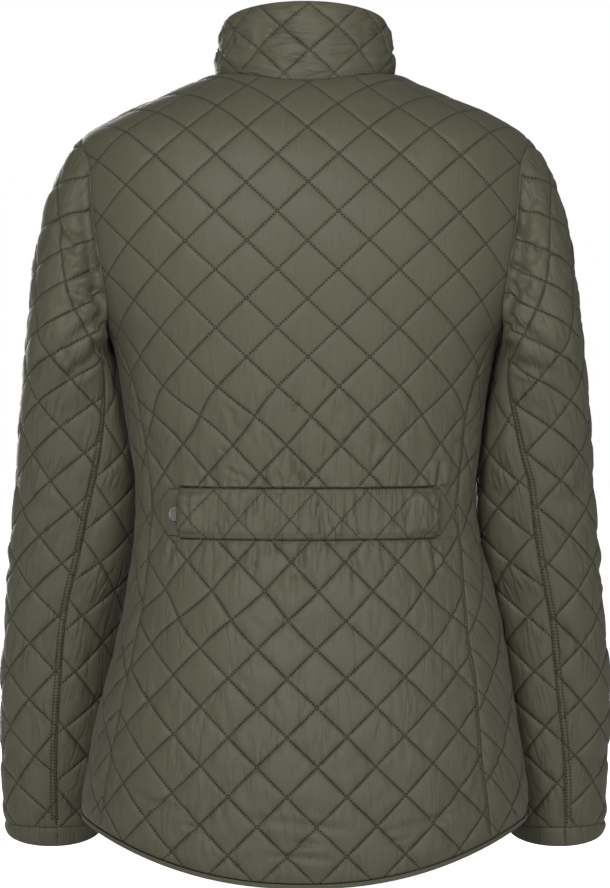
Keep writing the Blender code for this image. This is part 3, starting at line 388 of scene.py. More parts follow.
print("girth at the chest:", round(ring(-214.0, 1)[2][-1] + ring(-214.0, -1)[2][-1]), "mm")

# %% [markdown]
# ## Laying flat cloth on a form
# A pattern piece is flat and the body isn't, so each form keeps a grid of lines: one for every few
# millimetres across the cloth, with even steps up it. `place` reads a point of the flat cloth off
# that grid. Blender's own UV unwrap goes the other way, from a finished surface to a flat one, and
# gives no say in where the grain of the cloth runs.


# %% A form that cloth is laid on
class Cloth:
    """place(u, v) is where a point of the flat cloth goes."""

    STEP = 2.0

    def __init__(self, us, lines, facing, v_range):
        self.us, self.facing = us, facing
        self.vs = np.arange(*v_range, self.STEP)
        self.grid = np.stack([self.even(v, line) for v, line in lines])

    def even(self, v, line):
        """A line's points at even steps of v, running straight on past its ends."""
        first, last = (line[1] - line[0]) / (v[1] - v[0]), (line[-1] - line[-2]) / (v[-1] - v[-2])
        points = np.stack([np.interp(self.vs, v, line[:, k]) for k in range(3)], axis=1)
        points += np.minimum(self.vs - v[0], 0)[:, None] * first
        points += np.maximum(self.vs - v[-1], 0)[:, None] * last
        return points

    def place(self, u, v):
        i = np.clip((np.asarray(u, float) - self.us[0]) / (self.us[1] - self.us[0]), 0, len(self.us) - 1.001)
        j = np.clip((np.asarray(v, float) - self.vs[0]) / self.STEP, 0, len(self.vs) - 1.001)
        a, b = i.astype(int), j.astype(int)
        s, t = (i - a)[:, None], (j - b)[:, None]
        g = self.grid
        low = g[a, b] * (1 - s) + g[a + 1, b] * s
        high = g[a, b + 1] * (1 - s) + g[a + 1, b + 1] * s
        return low * (1 - t) + high * t

    def ways(self, u, v, step=5.0):
        """The directions of u and v on the form."""
        du = self.place(u + step, v) - self.place(u - step, v)
        dv = self.place(u, v + step) - self.place(u, v - step)
        return du / (2 * step), dv / (2 * step)

    def normal(self, u, v):
        return self.facing * unit(np.cross(*self.ways(u, v)))

    def sunk(self, depth_at):
        """The same form, lying deeper by an amount that depends on u."""
        u, v = crossed(self.us, self.vs)
        lower = self.place(u, v) - self.normal(u, v) * depth_at(u)[:, None]
        return self.changed(lower.reshape(self.grid.shape), self.facing)

    def mirrored(self):
        return self.changed(self.grid * (-1, 1, 1), -self.facing)

    def changed(self, grid, facing):
        made = Cloth.__new__(Cloth)
        made.us, made.vs, made.grid, made.facing = self.us, self.vs, grid, facing
        return made

    def flat(self, us, points):
        """The (u, v) of points whose u is known: the nearest v, and then between its two neighbours."""
        tries = np.arange(self.vs[0], self.vs[-1], 1.0)
        vs = []
        for u, point in zip(us, points):
            far = np.linalg.norm(self.place(np.full(len(tries), u), tries) - point, axis=1)
            k = np.clip(far.argmin(), 1, len(tries) - 2)
            a, b, c = far[k - 1 : k + 2] ** 2
            vs.append(tries[k] + 0.5 * (a - c) / max(a - 2 * b + c, 1e-6))
        return np.stack([us, np.array(vs)], axis=1)


print("a form keeps a point every", Cloth.STEP, "mm up its lines")


# %% The body's two forms: one measured from the middle of the back, one from the front's
def over_shoulder(x, from_front):
    """The line at one x from SHOULDER_LEVEL up over the ridge and a little way down again."""
    ridge = float(roof(np.array(x), np.array(0.0)))
    rise = 1 - np.cos(np.linspace(0, math.pi / 2, 25))
    z = ridge - (ridge - SHOULDER_LEVEL) * rise[::-1]
    n = squareness(z)
    share = np.clip(1 - (abs(x) / half_width(z, 1 if x >= 0 else -1)) ** n, 0, 1) ** (1 / n)
    back = np.stack([np.full(25, x), back_depth(z) * share, z], axis=1)
    front = np.stack([np.full(25, x), -front_depth(z) * share, z], axis=1)
    near, far = (front, back) if from_front else (back, front)
    if ridge > BODY[-1, 0] - 0.1:
        return near
    past = far[::-1][1:]
    return np.concatenate([near, past[np.abs(past[:, 1]) < 40]])


def body_cloth(from_front):
    """Each line of the form goes up one side of the body at one u."""
    levels = np.arange(-736.0, SHOULDER_LEVEL, 6.0)
    rings = {side: [ring(z, side) for z in levels] for side in (1, -1)}
    us = np.arange(-372.0, 373.0, 4.0) if from_front else np.arange(-256.0, 257.0, 4.0)
    lines = []
    for u in us:
        side, points = (1 if u >= 0 else -1), []
        for z, (x, y, far) in zip(levels, rings[side]):
            at = far[-1] - abs(u) if from_front else abs(u)
            edge = far[len(TURNS) // 2]
            if z < CHEST_LEVEL or (at >= edge if from_front else at <= edge):
                points.append((np.interp(at, far, x), np.interp(at, far, y), z))
        points = np.array(points)
        if abs(u) < half_width(SHOULDER_LEVEL, side):
            points = np.concatenate([points, over_shoulder(u, from_front)])
        v = lengths(points)
        lines.append((v - np.interp(ZERO_LEVEL, levels[: len(v)], v[: len(levels)]), points))
    return Cloth(us, lines, 1 if from_front else -1, (-560.0, 330.0))


def underlap(far):
    """How deep the left front and the collar's left end lie, by how far they are from the middle."""
    return UNDERLAP_DEPTH * ease((UNDERLAP_EASE - far) / (UNDERLAP_EASE - OVERLAP))


def across(points, from_front):
    """u of points on the body: how far they are from the middle of the back, or of the front."""
    found = []
    for x, y, z in points:
        if z > SHOULDER_LEVEL:
            found.append(x)
            continue
        side, n = (1 if x >= 0 else -1), squareness(z)
        wide, deep = (abs(x) / half_width(z, side)) ** (n / 2), (abs(y) / depth(z, y)) ** (n / 2)
        _, _, far = ring(z, side)
        u = np.interp(math.atan2(wide, math.copysign(deep, y)), TURNS, far)
        found.append(side * (far[-1] - u if from_front else u))
    return np.array(found)


BACK, FRONT = body_cloth(False), body_cloth(True)
LEFT_FRONT = FRONT.sunk(underlap)
print("forms: the back's", BACK.grid.shape[:2], "the fronts'", FRONT.grid.shape[:2])

# %% [markdown]
# ## The sleeves' and the collar's forms
# A sleeve is one piece of cloth wrapped round the arm and closed by a seam on its back. Its form is
# a leaning, bent stack of rings, and above them the sleeve's head, which curves over to the armhole.
# The collar's form goes straight up from the neck seam, a little narrower at its top.

# %% Tables of the sleeve and the collar
SLEEVE = np.array(
    [  # level, middle x, middle y, half width, half depth, squareness, seam's way round to the back
        (-245, 208.5, -2, 35.0, 66, 2.60, 38),
        (-284, 205.2, -20, 43.8, 61, 2.40, 50),
        (-337, 202.2, -35, 51.8, 56, 2.20, 63),
        (-378, 203.2, -47, 53.8, 54, 2.10, 71),
        (-425, 207.2, -60, 54.8, 53, 2.05, 77),
        (-460, 212.0, -70, 53.0, 52, 2.05, 79),
        (-534, 220.0, -84, 52.0, 50, 2.05, 77),
        (-603, 223.5, -92, 48.0, 47, 2.05, 72),
        (-645, 225.0, -96, 45.0, 44.5, 2.05, 66),
        (-665, 226.0, -98, 44.0, 43.5, 2.05, 63),
        (-700, 227.0, -100, 43.0, 42.5, 2.05, 61),
    ]
)[::-1]
SLEEVE_TOP, CUFF_SEAM, CUFF_EDGE = -245.0, -665.0, -682.0
# How far the cuff's seam and its edge rise from the back of the arm to its sides, and on to its front.
CUFF_RISE = {CUFF_SEAM: (4.0, 16.0), CUFF_EDGE: (13.5, 17.0)}
HEAD_TILT = (0.62, 0.10)  # how far the sleeve's top leaves the shoulder outwards, and its sides
SLEEVE_LEVELS = np.linspace(-690.0, SLEEVE_TOP, 200)
COLLAR_TOP = (72.0, 58.0, 60.0)  # half width, back and front of its top edge in plan
COLLAR_TOP_LEVEL, COLLAR_TILT, COLLAR_BULGE, COLLAR_EDGE = 45.0, 0.28, 0.5, 0.1
sleeve_columns = [through(SLEEVE, k) for k in range(1, 7)]
print("levels of the sleeve:", len(SLEEVE))


# %% Rings of the sleeve
def sleeve_ring(z):
    """The sleeve's outline at a level, from nearest the body round the front, and how far round it is."""
    mid_x, mid_y, wide, deep, n, _ = (column(z) for column in sleeve_columns)
    turn = np.linspace(0, 2 * math.pi, 241)
    c, s = np.cos(turn), np.sin(turn)
    x = mid_x - wide * np.sign(c) * np.abs(c) ** (2 / n)
    y = mid_y - deep * np.sign(s) * np.abs(s) ** (2 / n)
    line = np.stack([x, y, np.full(len(turn), z)], axis=1)
    return line, lengths(line)


def sleeve_girth(z):
    return sleeve_ring(z)[1][-1]


def on_sleeve_ring(z, share):
    """The point a share of the way round a ring, from its seam to its seam again."""
    line, far = sleeve_ring(z)
    at = (share * far[-1] - sleeve_columns[5](z)) % far[-1]
    return np.array([np.interp(at, far, line[:, k]) for k in range(3)])


def sleeve_v(level):
    """v of a level below the sleeve's top ring."""
    z = SLEEVE_LEVELS
    middle = lengths(np.stack([sleeve_columns[0](z), sleeve_columns[1](z), z], axis=1))
    return np.interp(level, z, middle - middle[-1])


print("round the sleeve at the elbow:", round(sleeve_girth(-425.0)), "mm")


# %% The sleeve's head
def armhole_line(side):
    """The armhole from the side seam forward and all the way round."""
    view = smooth_line(ARMHOLE.astype(float), closed=True)
    return np.stack([side_x(view[:, 0], view[:, 1], side), view[:, 0], view[:, 1]], axis=1)


HOLE = armhole_line(1)
HOLE_FAR = lengths(HOLE)


def sleeve_head(share):
    """The line of the sleeve's head from its top ring up to the armhole."""
    start = np.array([np.interp(share * HOLE_FAR[-1], HOLE_FAR, HOLE[:, k]) for k in range(3)])
    end = on_sleeve_ring(SLEEVE_TOP, share)
    low, high = HOLE[:, 2].min(), HOLE[:, 2].max()
    rise = (start[2] - low) / (high - low)
    out = unit(np.array([HEAD_TILT[0] * rise, HEAD_TILT[1] * start[1] / 60, 0.25 * rise - 1]))
    down = unit(on_sleeve_ring(SLEEVE_TOP - 15, share) - end)
    span = np.linalg.norm(end - start)
    t = np.linspace(1, 0, 25)[:, None]
    return (
        (2 * t**3 - 3 * t**2 + 1) * start
        + (t**3 - 2 * t**2 + t) * span * out
        + (3 * t**2 - 2 * t**3) * end
        + (t**3 - t**2) * span * down
    )


def sleeve_cloth():
    """The left sleeve's form: v is 0 at its top ring, and u is 0 opposite the seam."""
    top_girth = sleeve_girth(SLEEVE_TOP)
    levels = np.append(np.arange(-690.0, SLEEVE_TOP - 1, 6.0), SLEEVE_TOP)
    rings = [sleeve_ring(z) for z in levels]
    down = lengths(np.stack([sleeve_columns[0](levels), sleeve_columns[1](levels), levels], axis=1))
    us = np.arange(-196.0, 197.0, 4.0)
    lines = []
    for u in us:
        points = []
        for z, (line, far) in zip(levels, rings):
            at = (u + far[-1] / 2 - sleeve_columns[5](z)) % far[-1]
            points.append([np.interp(at, far, line[:, k]) for k in range(3)])
        head = sleeve_head((u / top_girth + 0.5) % 1)
        v = np.concatenate([down - down[-1], lengths(head)[1:]])
        lines.append((v, np.concatenate([points, head[1:]])))
    return Cloth(us, lines, 1, (-470.0, 240.0))


SLEEVES = {1: sleeve_cloth()}
SLEEVES[-1] = SLEEVES[1].mirrored()
print("the sleeve's form:", SLEEVES[1].grid.shape[:2])


# %% The neck and the collar
def neck_line(side):
    """From the middle of the back round one side to the middle of the front."""
    turn = np.linspace(0, math.pi, 121)
    x = side * NECK_HALF_WIDTH * np.sin(turn)
    y = np.where(turn < math.pi / 2, NECK_BACK, NECK_FRONT) * np.cos(turn)
    return np.stack([x, y, roof(x, y)], axis=1)


def neck_path():
    """The neck seam from the right front's edge round the back to the left front's edge."""
    right, left = neck_line(-1), neck_line(1)
    whole = lengths(left)[-1]
    past = along(left, np.linspace(whole - OVERLAP, whole, 6))
    under = along(right, np.linspace(whole, whole - OVERLAP, 6))
    return np.concatenate([past[:-1], right[::-1], left[1:], under[1:]])


def collar_top(path):
    """The collar's top edge, over points of the neck seam."""
    wide, back, front = COLLAR_TOP
    top = path * (wide / NECK_HALF_WIDTH, 1, 1)
    top[:, 1] *= np.where(path[:, 1] > 0, back / NECK_BACK, front / NECK_FRONT)
    top[:, 2] = COLLAR_TOP_LEVEL + COLLAR_TILT * top[:, 1]
    return top


def collar_cloth():
    path = neck_path()
    u = lengths(path)
    u -= u[-1] / 2
    top, out = collar_top(path), unit(path * (1, 1, 0))
    us = np.arange(-256.0, 257.0, 4.0)
    share = np.linspace(0, 1, 13)[:, None]
    lines = []
    for at in us:
        low, high, way = (np.array([np.interp(at, u, x[:, k]) for k in range(3)]) for x in (path, top, out))
        line = low + (high - low) * share + way * COLLAR_BULGE * np.sin(math.pi * share)
        lines.append((lengths(line), line))
    return Cloth(us, lines, -1, (-12.0, 90.0))


def collar_height(u):
    """How high the collar stands at a place on its seam."""
    path = neck_path()
    far = lengths(path)
    base = np.array([[np.interp(u, far - far[-1] / 2, path[:, k]) for k in range(3)]])
    return float(np.linalg.norm(collar_top(base) - base)) + COLLAR_EDGE


NECK_HALF = lengths(neck_line(1))[-1]
COLLAR = collar_cloth()
SUNK_COLLAR = COLLAR.sunk(lambda u: underlap(NECK_HALF - u))
print("the collar is", round(collar_height(0.0)), "mm high at the back")

# %% [markdown]
# ## Seams
# Two pieces that are sewn together have to end on the same line, or a crack opens between them. So
# every seam is made once, as a row of points about three millimetres apart, and both pieces take it
# as their edge. Each point also has a lean: the direction in which both walls have their thickness.

# %% Lines of the seams
SPACING = 3.0  # between two points of a seam


def hem_level(points):
    """The level of the hem above or below points of the body."""
    y, z = points[:, 1], points[:, 2]
    share = np.clip(np.abs(y) / depth(z, y), 0, 1)
    drop = np.where(y >= 0, HEM_BACK_DROP, HEM_FRONT_DROP)
    return HEM_SIDE_LEVEL - drop * share**HEM_SCOOP


def hem_line(side):
    """From the middle of the back round one side to the middle of the front."""
    level = np.full(len(TURNS), HEM_SIDE_LEVEL)
    for _ in range(6):
        x, y = half_round(level, side)
        level = hem_level(np.stack([x, y, level], axis=1))
    return np.stack([x, y, level], axis=1)


def hem_path():
    """The hem from the right front's edge round the back to the left front's edge."""
    right, left = hem_line(-1), hem_line(1)
    past = along(left[::-1], np.linspace(OVERLAP, 0, 4))
    under = along(right[::-1], np.linspace(0, OVERLAP, 4))
    return np.concatenate([past[:-1], right[::-1], left[1:], under[1:]])


def split_at(line, value, column):
    """Cuts a line in two where one of its coordinates first passes a value. Both parts get that point."""
    over = np.sign(line[:, column] - value)
    past = np.nonzero(over[1:] * over[:-1] < 0)[0][0]
    a, b = line[past], line[past + 1]
    point = a + (b - a) * (value - a[column]) / (b[column] - a[column])
    return np.vstack([line[: past + 1], point]), np.vstack([point, line[past + 1 :]])


def stations(line):
    """Points evenly along a line, its ends included."""
    far = lengths(line)[-1]
    return along(line, np.linspace(0, far, max(2, round(far / SPACING)) + 1))


def side_line(side):
    """A side seam, from where it meets the hem up to the armhole."""
    xs = through(SIDE_SEAM, 1 if side > 0 else 2)
    z = np.linspace(-690.0, SIDE_SEAM[-1, 0], 400)
    line = np.stack([xs(z), back_y(xs(z), z), z], axis=1)
    return line[np.argmax(line[:, 2] > hem_level(line)) :]


def body_seams():
    """Every seam and edge line of the body, by name."""
    found = {}
    found["neck_right"], rest = split_at(neck_path(), SHOULDER_SEAM_Y, 1)
    found["neck_back"], found["neck_left"] = split_at(rest, SHOULDER_SEAM_Y, 1)
    sides = {1: side_line(1), -1: side_line(-1)}
    found["hem_right"], rest = split_at(hem_path(), sides[-1][0, 1], 1)
    found["hem_back"], found["hem_left"] = split_at(rest, sides[1][0, 1], 1)
    sides[-1][0], sides[1][0] = found["hem_back"][0], found["hem_left"][0]
    neck_ends = {1: found["neck_left"][0], -1: found["neck_back"][0]}
    for word, side in SIDES:
        hole, top = armhole_line(side), ARMHOLE_TOP * 12
        sides[side][-1] = hole[0]
        x = np.linspace(neck_ends[side][0], hole[top, 0], 60)
        y = np.full(60, SHOULDER_SEAM_Y)
        shoulder = np.stack([x, y, roof(x, y)], axis=1)
        shoulder[0], shoulder[-1] = neck_ends[side], hole[top]
        found["side_" + word], found["shoulder_" + word] = sides[side], shoulder
        found["hole_front_" + word], found["hole_back_" + word] = hole[: top + 1], hole[top:]
    return {name: stations(line) for name, line in found.items()}


SEAMS = body_seams()
print("seam lines:", ", ".join(f"{name} {lengths(p)[-1]:.0f}" for name, p in SEAMS.items()), "mm")


# %% Leans, and the edges of the pieces
def hole_shares(word):
    """How far round the armhole its seams' points are."""
    top = HOLE_FAR[ARMHOLE_TOP * 12] / HOLE_FAR[-1]
    front = np.linspace(0, top, len(SEAMS["hole_front_" + word]))
    return np.concatenate([front, np.linspace(top, 1, len(SEAMS["hole_back_" + word]))[1:]])


def cap_flat(shares):
    """The sleeve head's edge on the flat cloth."""
    rise = [lengths(sleeve_head(min(s, 0.99999)))[-1] for s in shares]
    return np.stack([(shares - 0.5) * sleeve_girth(SLEEVE_TOP), rise], axis=1)


LEANS, CAPS, HOLES = {}, {}, {}
for word, side in SIDES:
    HOLES[word] = np.concatenate([SEAMS["hole_front_" + word], SEAMS["hole_back_" + word][1:]])
    CAPS[word] = cap_flat(hole_shares(word))
    both = unit(body_normal(HOLES[word]) + SLEEVES[side].normal(*CAPS[word].T))
    both[-1] = both[0]
    split = len(SEAMS["hole_front_" + word])
    LEANS["hole_front_" + word], LEANS["hole_back_" + word] = both[:split], both[split - 1 :]
collar_u, start = {}, -NECK_HALF - OVERLAP
for name in ("neck_right", "neck_back", "neck_left"):
    far = lengths(SEAMS[name])
    collar_u[name], start = start + far, start + far[-1]
    LEANS[name] = unit(body_normal(SEAMS[name]) + COLLAR.normal(collar_u[name], 0 * far))


class Edge:
    """One side of a piece: its points on the flat cloth and, at a seam, their places and lean."""

    def __init__(self, flat, places=None, lean=None, stitched=False):
        self.flat, self.places, self.lean, self.stitched = flat, places, lean, stitched

    def on(self, cloth):
        if self.places is None:
            return cloth.place(*self.flat.T), cloth.normal(*self.flat.T)
        return self.places, self.lean


def seam(name, from_front, backwards=False, sunk=False, stitched=False):
    """A seam as an edge of the back or of a front."""
    points, lean = SEAMS[name], LEANS.get(name)
    lean = body_normal(points) if lean is None else lean
    us = across(points, from_front)
    flat = (FRONT if from_front else BACK).flat(us, points)
    places = points - lean * underlap(us)[:, None] if sunk else points
    order = slice(None, None, -1) if backwards else slice(None)
    return Edge(flat[order], places[order], lean[order], stitched)


def joined(parts):
    """Lines that follow one another, as one line."""
    return np.concatenate([part[:-1] for part in parts[:-1]] + [parts[-1]])


def straight(start, end, stitched=False):
    """A free edge, straight on the flat cloth."""
    count = max(1, round(float(np.linalg.norm(np.subtract(end, start))) / SPACING))
    return Edge(np.linspace(start, end, count + 1), stitched=stitched)


print("the collar's seam runs from u", round(collar_u["neck_right"][0]), "to", round(start))

# %% [markdown]
# ## Quilting
# The quilting is two families of straight stitch lines that cross. Counting them gives each point
# of the cloth a pair of numbers (a, b): a is whole on the lines of one family and b on those of the
# other. With these numbers the mesh can have its points along the stitches, the puffs can be worked
# out, and the material can draw each stitch. The lines aren't quite straight: the cloth is gathered
# at the waist, and it is never sewn perfectly, which `warp` says.

# %% Unevenness
WALL, SEAM_GAP, LAID_GAP = 2.0, 0.1, 0.4  # the quilted cloth at its stitches, and gaps between pieces


def uneven(u, v, size, seed):
    """Smooth unevenness from -1 to 1 over the cloth, in patches of a size."""
    table = np.random.default_rng(seed).uniform(-1, 1, (64, 64))
    x, y = np.asarray(u) / size + 31.3, np.asarray(v) / size + 31.7
    i, j = np.floor(x).astype(int), np.floor(y).astype(int)
    s, t = ease(x - i), ease(y - j)
    near = lambda di, dj: table[(i + di) % 64, (j + dj) % 64]
    low, high = near(0, 0) * (1 - s) + near(1, 0) * s, near(0, 1) * (1 - s) + near(1, 1) * s
    return low * (1 - t) + high * t


print("unevenness at one place:", round(float(uneven(10.0, 20.0, 50.0, 1)), 3))

# %% The stitch lines
STEPS = np.array([0, 0.022, 0.06, 0.11, 0.17, 0.25, 0.33, 0.415])  # of the mesh, from a line on
STEPS = np.concatenate([STEPS, [0.5], 1 - STEPS[:0:-1]])


class Quilt:
    """Diamond stitching: the size of a diamond, where two lines cross, and how the cloth is warped."""

    def __init__(self, size, crossing, warp=lambda u, v: (u, v)):
        self.size, self.crossing, self.warp = np.array(size), np.array(crossing), warp
        self.apart = 1 / math.hypot(1 / size[0], 1 / size[1])  # between two lines

    def read(self, u, v):
        x, y = ((p - c) / s for p, c, s in zip(self.warp(u, v), self.crossing, self.size))
        return x + y, x - y

    def points(self, outline):
        """A net of points along the stitch lines, over the whole of an outline."""
        low, high = outline.min(axis=0), outline.max(axis=0)
        corners = self.read(*crossed(*zip(low, high)))
        lines = [np.arange(math.floor(k.min()) - 1, math.ceil(k.max()) + 1) for k in corners]
        a, b = crossed(*((line[:, None] + STEPS).ravel() for line in lines))
        want = np.stack([(a + b) / 2, (a - b) / 2]) * self.size[:, None] + self.crossing[:, None]
        at = want.copy()
        for _ in range(14):
            at = at + 0.8 * (want - np.stack(self.warp(*at)))
        return at.T[((at.T > low) & (at.T < high)).all(axis=1)]


print("mesh steps from one stitch line to the next:", len(STEPS))


# %% Puffs and creases
SLOPE, DOME = 1.7, 0.4  # how far the wadding's steep side reaches, and its dome's share of the height
UNLIKE, TILT, PULL = 0.12, 0.5, 0.42  # how unlike the diamonds are, how they tilt, and how they pucker


def puffs(a, b, apart, high, seed):
    """The wadding's height between the stitch lines: a steep side, a low dome, and small puckers."""
    i, j = np.floor(a).astype(int), np.floor(b).astype(int)
    table = np.random.default_rng(seed).uniform(-1, 1, (3, 50, 50))
    full, tilt_a, tilt_b = (table[k][i % 50, j % 50] for k in range(3))
    da, db = (np.abs(k - np.round(k)) * apart for k in (a, b))
    steep = (1 - np.exp(-da / SLOPE)) * (1 - np.exp(-db / SLOPE))
    round_top = (np.sin(math.pi * (a - i)) * np.sin(math.pi * (b - j))) ** 0.7
    lean = 1 + UNLIKE * full + TILT * tilt_a * (a - i - 0.5) + TILT * tilt_b * (b - j - 0.5)
    pulled = 0
    for line, other, off in ((a, b, da), (b, a, db)):
        row = np.round(line) * 37.0 + 900 * seed + 11 * (line > np.round(line))
        pulled = pulled + uneven(other * apart, row, 4.6, seed) * np.exp(-off / 5) * (1 - np.exp(-off / 1.1))
    return high * ((1 - DOME) * steep + DOME * round_top * steep**0.5) * lean + PULL * pulled * steep


def crease(u, v, start, end, deep, wide, bend=0.0):
    """A soft trough between two points of the flat cloth, with a low lip on each side."""
    way = np.subtract(end, start)
    long = math.hypot(*way)
    t = ((u - start[0]) * way[0] + (v - start[1]) * way[1]) / long**2
    side = ((u - start[0]) * way[1] - (v - start[1]) * way[0]) / long - bend * 4 * t * (1 - t)
    x = np.abs(side / wide)
    fade = ease(t / 0.3) * ease((1 - t) / 0.3)
    return deep * fade * (0.45 * np.exp(-((x - 2) ** 2)) - np.exp(-(x**2)))


def bell(x, wide):
    """1 where x is 0, and falling smoothly to nothing on both sides."""
    return np.exp(-((x / wide) ** 2))


def rumple(u, v, seed, deep=0.85):
    """Small wrinkles that run up the cloth, in patches: a trough wherever a stretched noise is 0."""
    noise = uneven(u + 3 * uneven(u, v, 20, seed + 1), v / 3, 8.5, seed)
    patch = ease((uneven(u, v, 38, seed + 2) + 0.5) / 0.7)
    lips = 0.4 * bell(np.abs(noise) - 0.5, 0.2)
    return deep * patch * (lips - bell(noise, 0.27))


print("a puff's middle:", round(float(puffs(0.5, 0.5, 35.8, 2.4, 1)), 2), "mm")

# %% [markdown]
# ## Sewing a piece
# Each piece becomes a thin closed shell: an outer net of points with the relief, a plain inner net,
# and a rim between them. The nets are Delaunay triangulations of the flat cut, which join any set of
# points into well-shaped triangles. A few rows of points follow the edge, so that the cloth can roll
# down into its seams. Four UV maps go along, for the material: `cloth` is the flat cut in metres,
# `quilt` counts the stitch lines, `seam` says how far along a sewn seam and how far from it a point
# is, and `wear` how wrinkled it is, which scales both the wrinkles' bump and their painted shade.

# %% Distances on the flat cloth
CHUNK = 3000


def near_edge(points, outline):
    """For each point: how far away a closed outline is, its nearest stretch, and how far along that."""
    way = np.roll(outline, -1, axis=0) - outline
    long = np.maximum((way**2).sum(axis=1), 1e-9)
    found = []
    for start in range(0, len(points), CHUNK):
        p = points[start : start + CHUNK, None]
        t = np.clip(((p - outline) * way).sum(axis=2) / long, 0, 1)
        far = np.hypot(p[..., 0] - outline[:, 0] - way[:, 0] * t, p[..., 1] - outline[:, 1] - way[:, 1] * t)
        k = far.argmin(axis=1)
        rows = np.arange(len(k))
        found.append(np.stack([far[rows, k], k, t[rows, k]], axis=1))
    found = np.concatenate(found)
    return found[:, 0], found[:, 1].astype(int), found[:, 2]


def inside(points, outline):
    a, b = outline, np.roll(outline, -1, axis=0)
    rise = np.where(b[:, 1] == a[:, 1], 1e-9, b[:, 1] - a[:, 1])
    found = []
    for start in range(0, len(points), CHUNK):
        x, y = points[start : start + CHUNK, None, 0], points[start : start + CHUNK, None, 1]
        crosses = (a[:, 1] > y) != (b[:, 1] > y)
        before = x < a[:, 0] + (y - a[:, 1]) * (b[:, 0] - a[:, 0]) / rise
        found.append((crosses & before).sum(axis=1) % 2 == 1)
    return np.concatenate(found)


def inset(outline, normal, by):
    """A closed outline moved inwards along its cloth. It runs counterclockwise round the normals."""
    before, after = np.roll(outline, 1, axis=0), np.roll(outline, -1, axis=0)
    first, second = unit(np.cross(normal, outline - before)), unit(np.cross(normal, after - outline))
    middle = unit(first + second)
    reach = by / np.maximum((middle * first).sum(axis=1), 0.35)
    return outline + middle * reach[:, None]


square = np.array([(0.0, 0.0), (10.0, 0.0), (10.0, 10.0), (0.0, 10.0)])
print("from the middle of a 10 mm square to its edge:", near_edge(np.array([[5.0, 5.0]]), square)[0][0])

# %% Nets
ROLL_ROWS = (0.8, 1.9, 3.4)  # rows of points along the edge
EDGE_DROP = 0.7  # how far the cloth rolls down at its edge
INNER_STEP, SAG_STEP = 14.0, 5.0  # of the inner net, and where it has to follow a sag


def net(outline, more):
    """Triangles over an outline and the points in it. The outline's points come first."""
    count = len(outline)
    points = [Vector(p) for p in np.concatenate([outline, more])]
    rim = [(i, (i + 1) % count) for i in range(count)]
    where, _, faces, source, _, _ = delaunay_2d_cdt(points, rim, [list(range(count))], 1, 1e-5)
    order = np.array([ids[0] if ids else count + len(more) for ids in source])
    rank = np.empty(len(order), int)
    rank[np.argsort(order, kind="stable")] = np.arange(len(order))
    sorted_points = np.array([tuple(p) for p in where])[np.argsort(order, kind="stable")]
    return sorted_points, rank[np.array(faces)]


def grid_points(outline, step):
    low, high = outline.min(axis=0), outline.max(axis=0)
    axes = [np.arange(a + step / 2, b, step) for a, b in zip(low, high)]
    return np.stack(list(crossed(*axes)), axis=1)


def clear_of(points, outline, margin):
    points = points[inside(points, outline)]
    return points[near_edge(points, outline)[0] > margin]


print("points every 4 mm in a square of 10 mm:", len(grid_points(square, 4.0)))


# %% Meshes and shells
def cloth_mesh(name, points, faces, maps, sharp):
    """A smooth object with its UV maps, from points in millimetres. Corners sharper than sharp stay so."""
    mesh = bpy.data.meshes.new(name)
    mesh.from_pydata((points * METRES).tolist(), [], faces)
    corners = np.empty(len(mesh.loops), int)
    mesh.loops.foreach_get("vertex_index", corners)
    for map_name, values in maps.items():
        layer = mesh.uv_layers.new(name=map_name)
        layer.uv.foreach_set("vector", values[corners].astype(np.float32).ravel())
    mesh.shade_smooth()
    mesh.set_sharp_from_angle(angle=math.radians(sharp))
    made = bpy.data.objects.new(name, mesh)
    bpy.context.collection.objects.link(made)
    return made


def shell(name, outer, inner, outer_faces, inner_faces, count, maps, facing, is_plain):
    """A closed thin shell. Its plain faces and its inside take the second material."""
    n, k, turn = len(outer), np.arange(count), int(facing)
    after = (k + 1) % count
    rims = np.stack([after, k, k + n, after + n], axis=1)
    faces = (outer_faces[:, ::turn], inner_faces[:, ::-turn] + n, rims[:, ::turn])
    faces = [face for part in faces for face in part.tolist()]
    made = cloth_mesh(name, np.concatenate([outer, inner]), faces, maps, 62)
    finish = np.ones(len(faces), int)
    finish[: len(outer_faces)] = is_plain
    made.data.polygons.foreach_set("material_index", finish)
    return made


corner_net = net(square, np.array([[5.0, 5.0]]))
print("a square and one point in it make", len(corner_net[1]), "triangles")

# %% From a cut to a piece
CUTS = {}  # each piece's flat size and area, in metres


def measure_cut(name, flat):
    x, y = flat.T
    area = abs(np.dot(x, np.roll(y, -1)) - np.dot(y, np.roll(x, -1))) / 2
    CUTS[name] = (np.ptp(x) * METRES, np.ptp(y) * METRES, area * METRES**2)


PUCKER, THINNEST = 0.42, 0.3  # how deep a seam puckers, and the share of a wall that a crease leaves


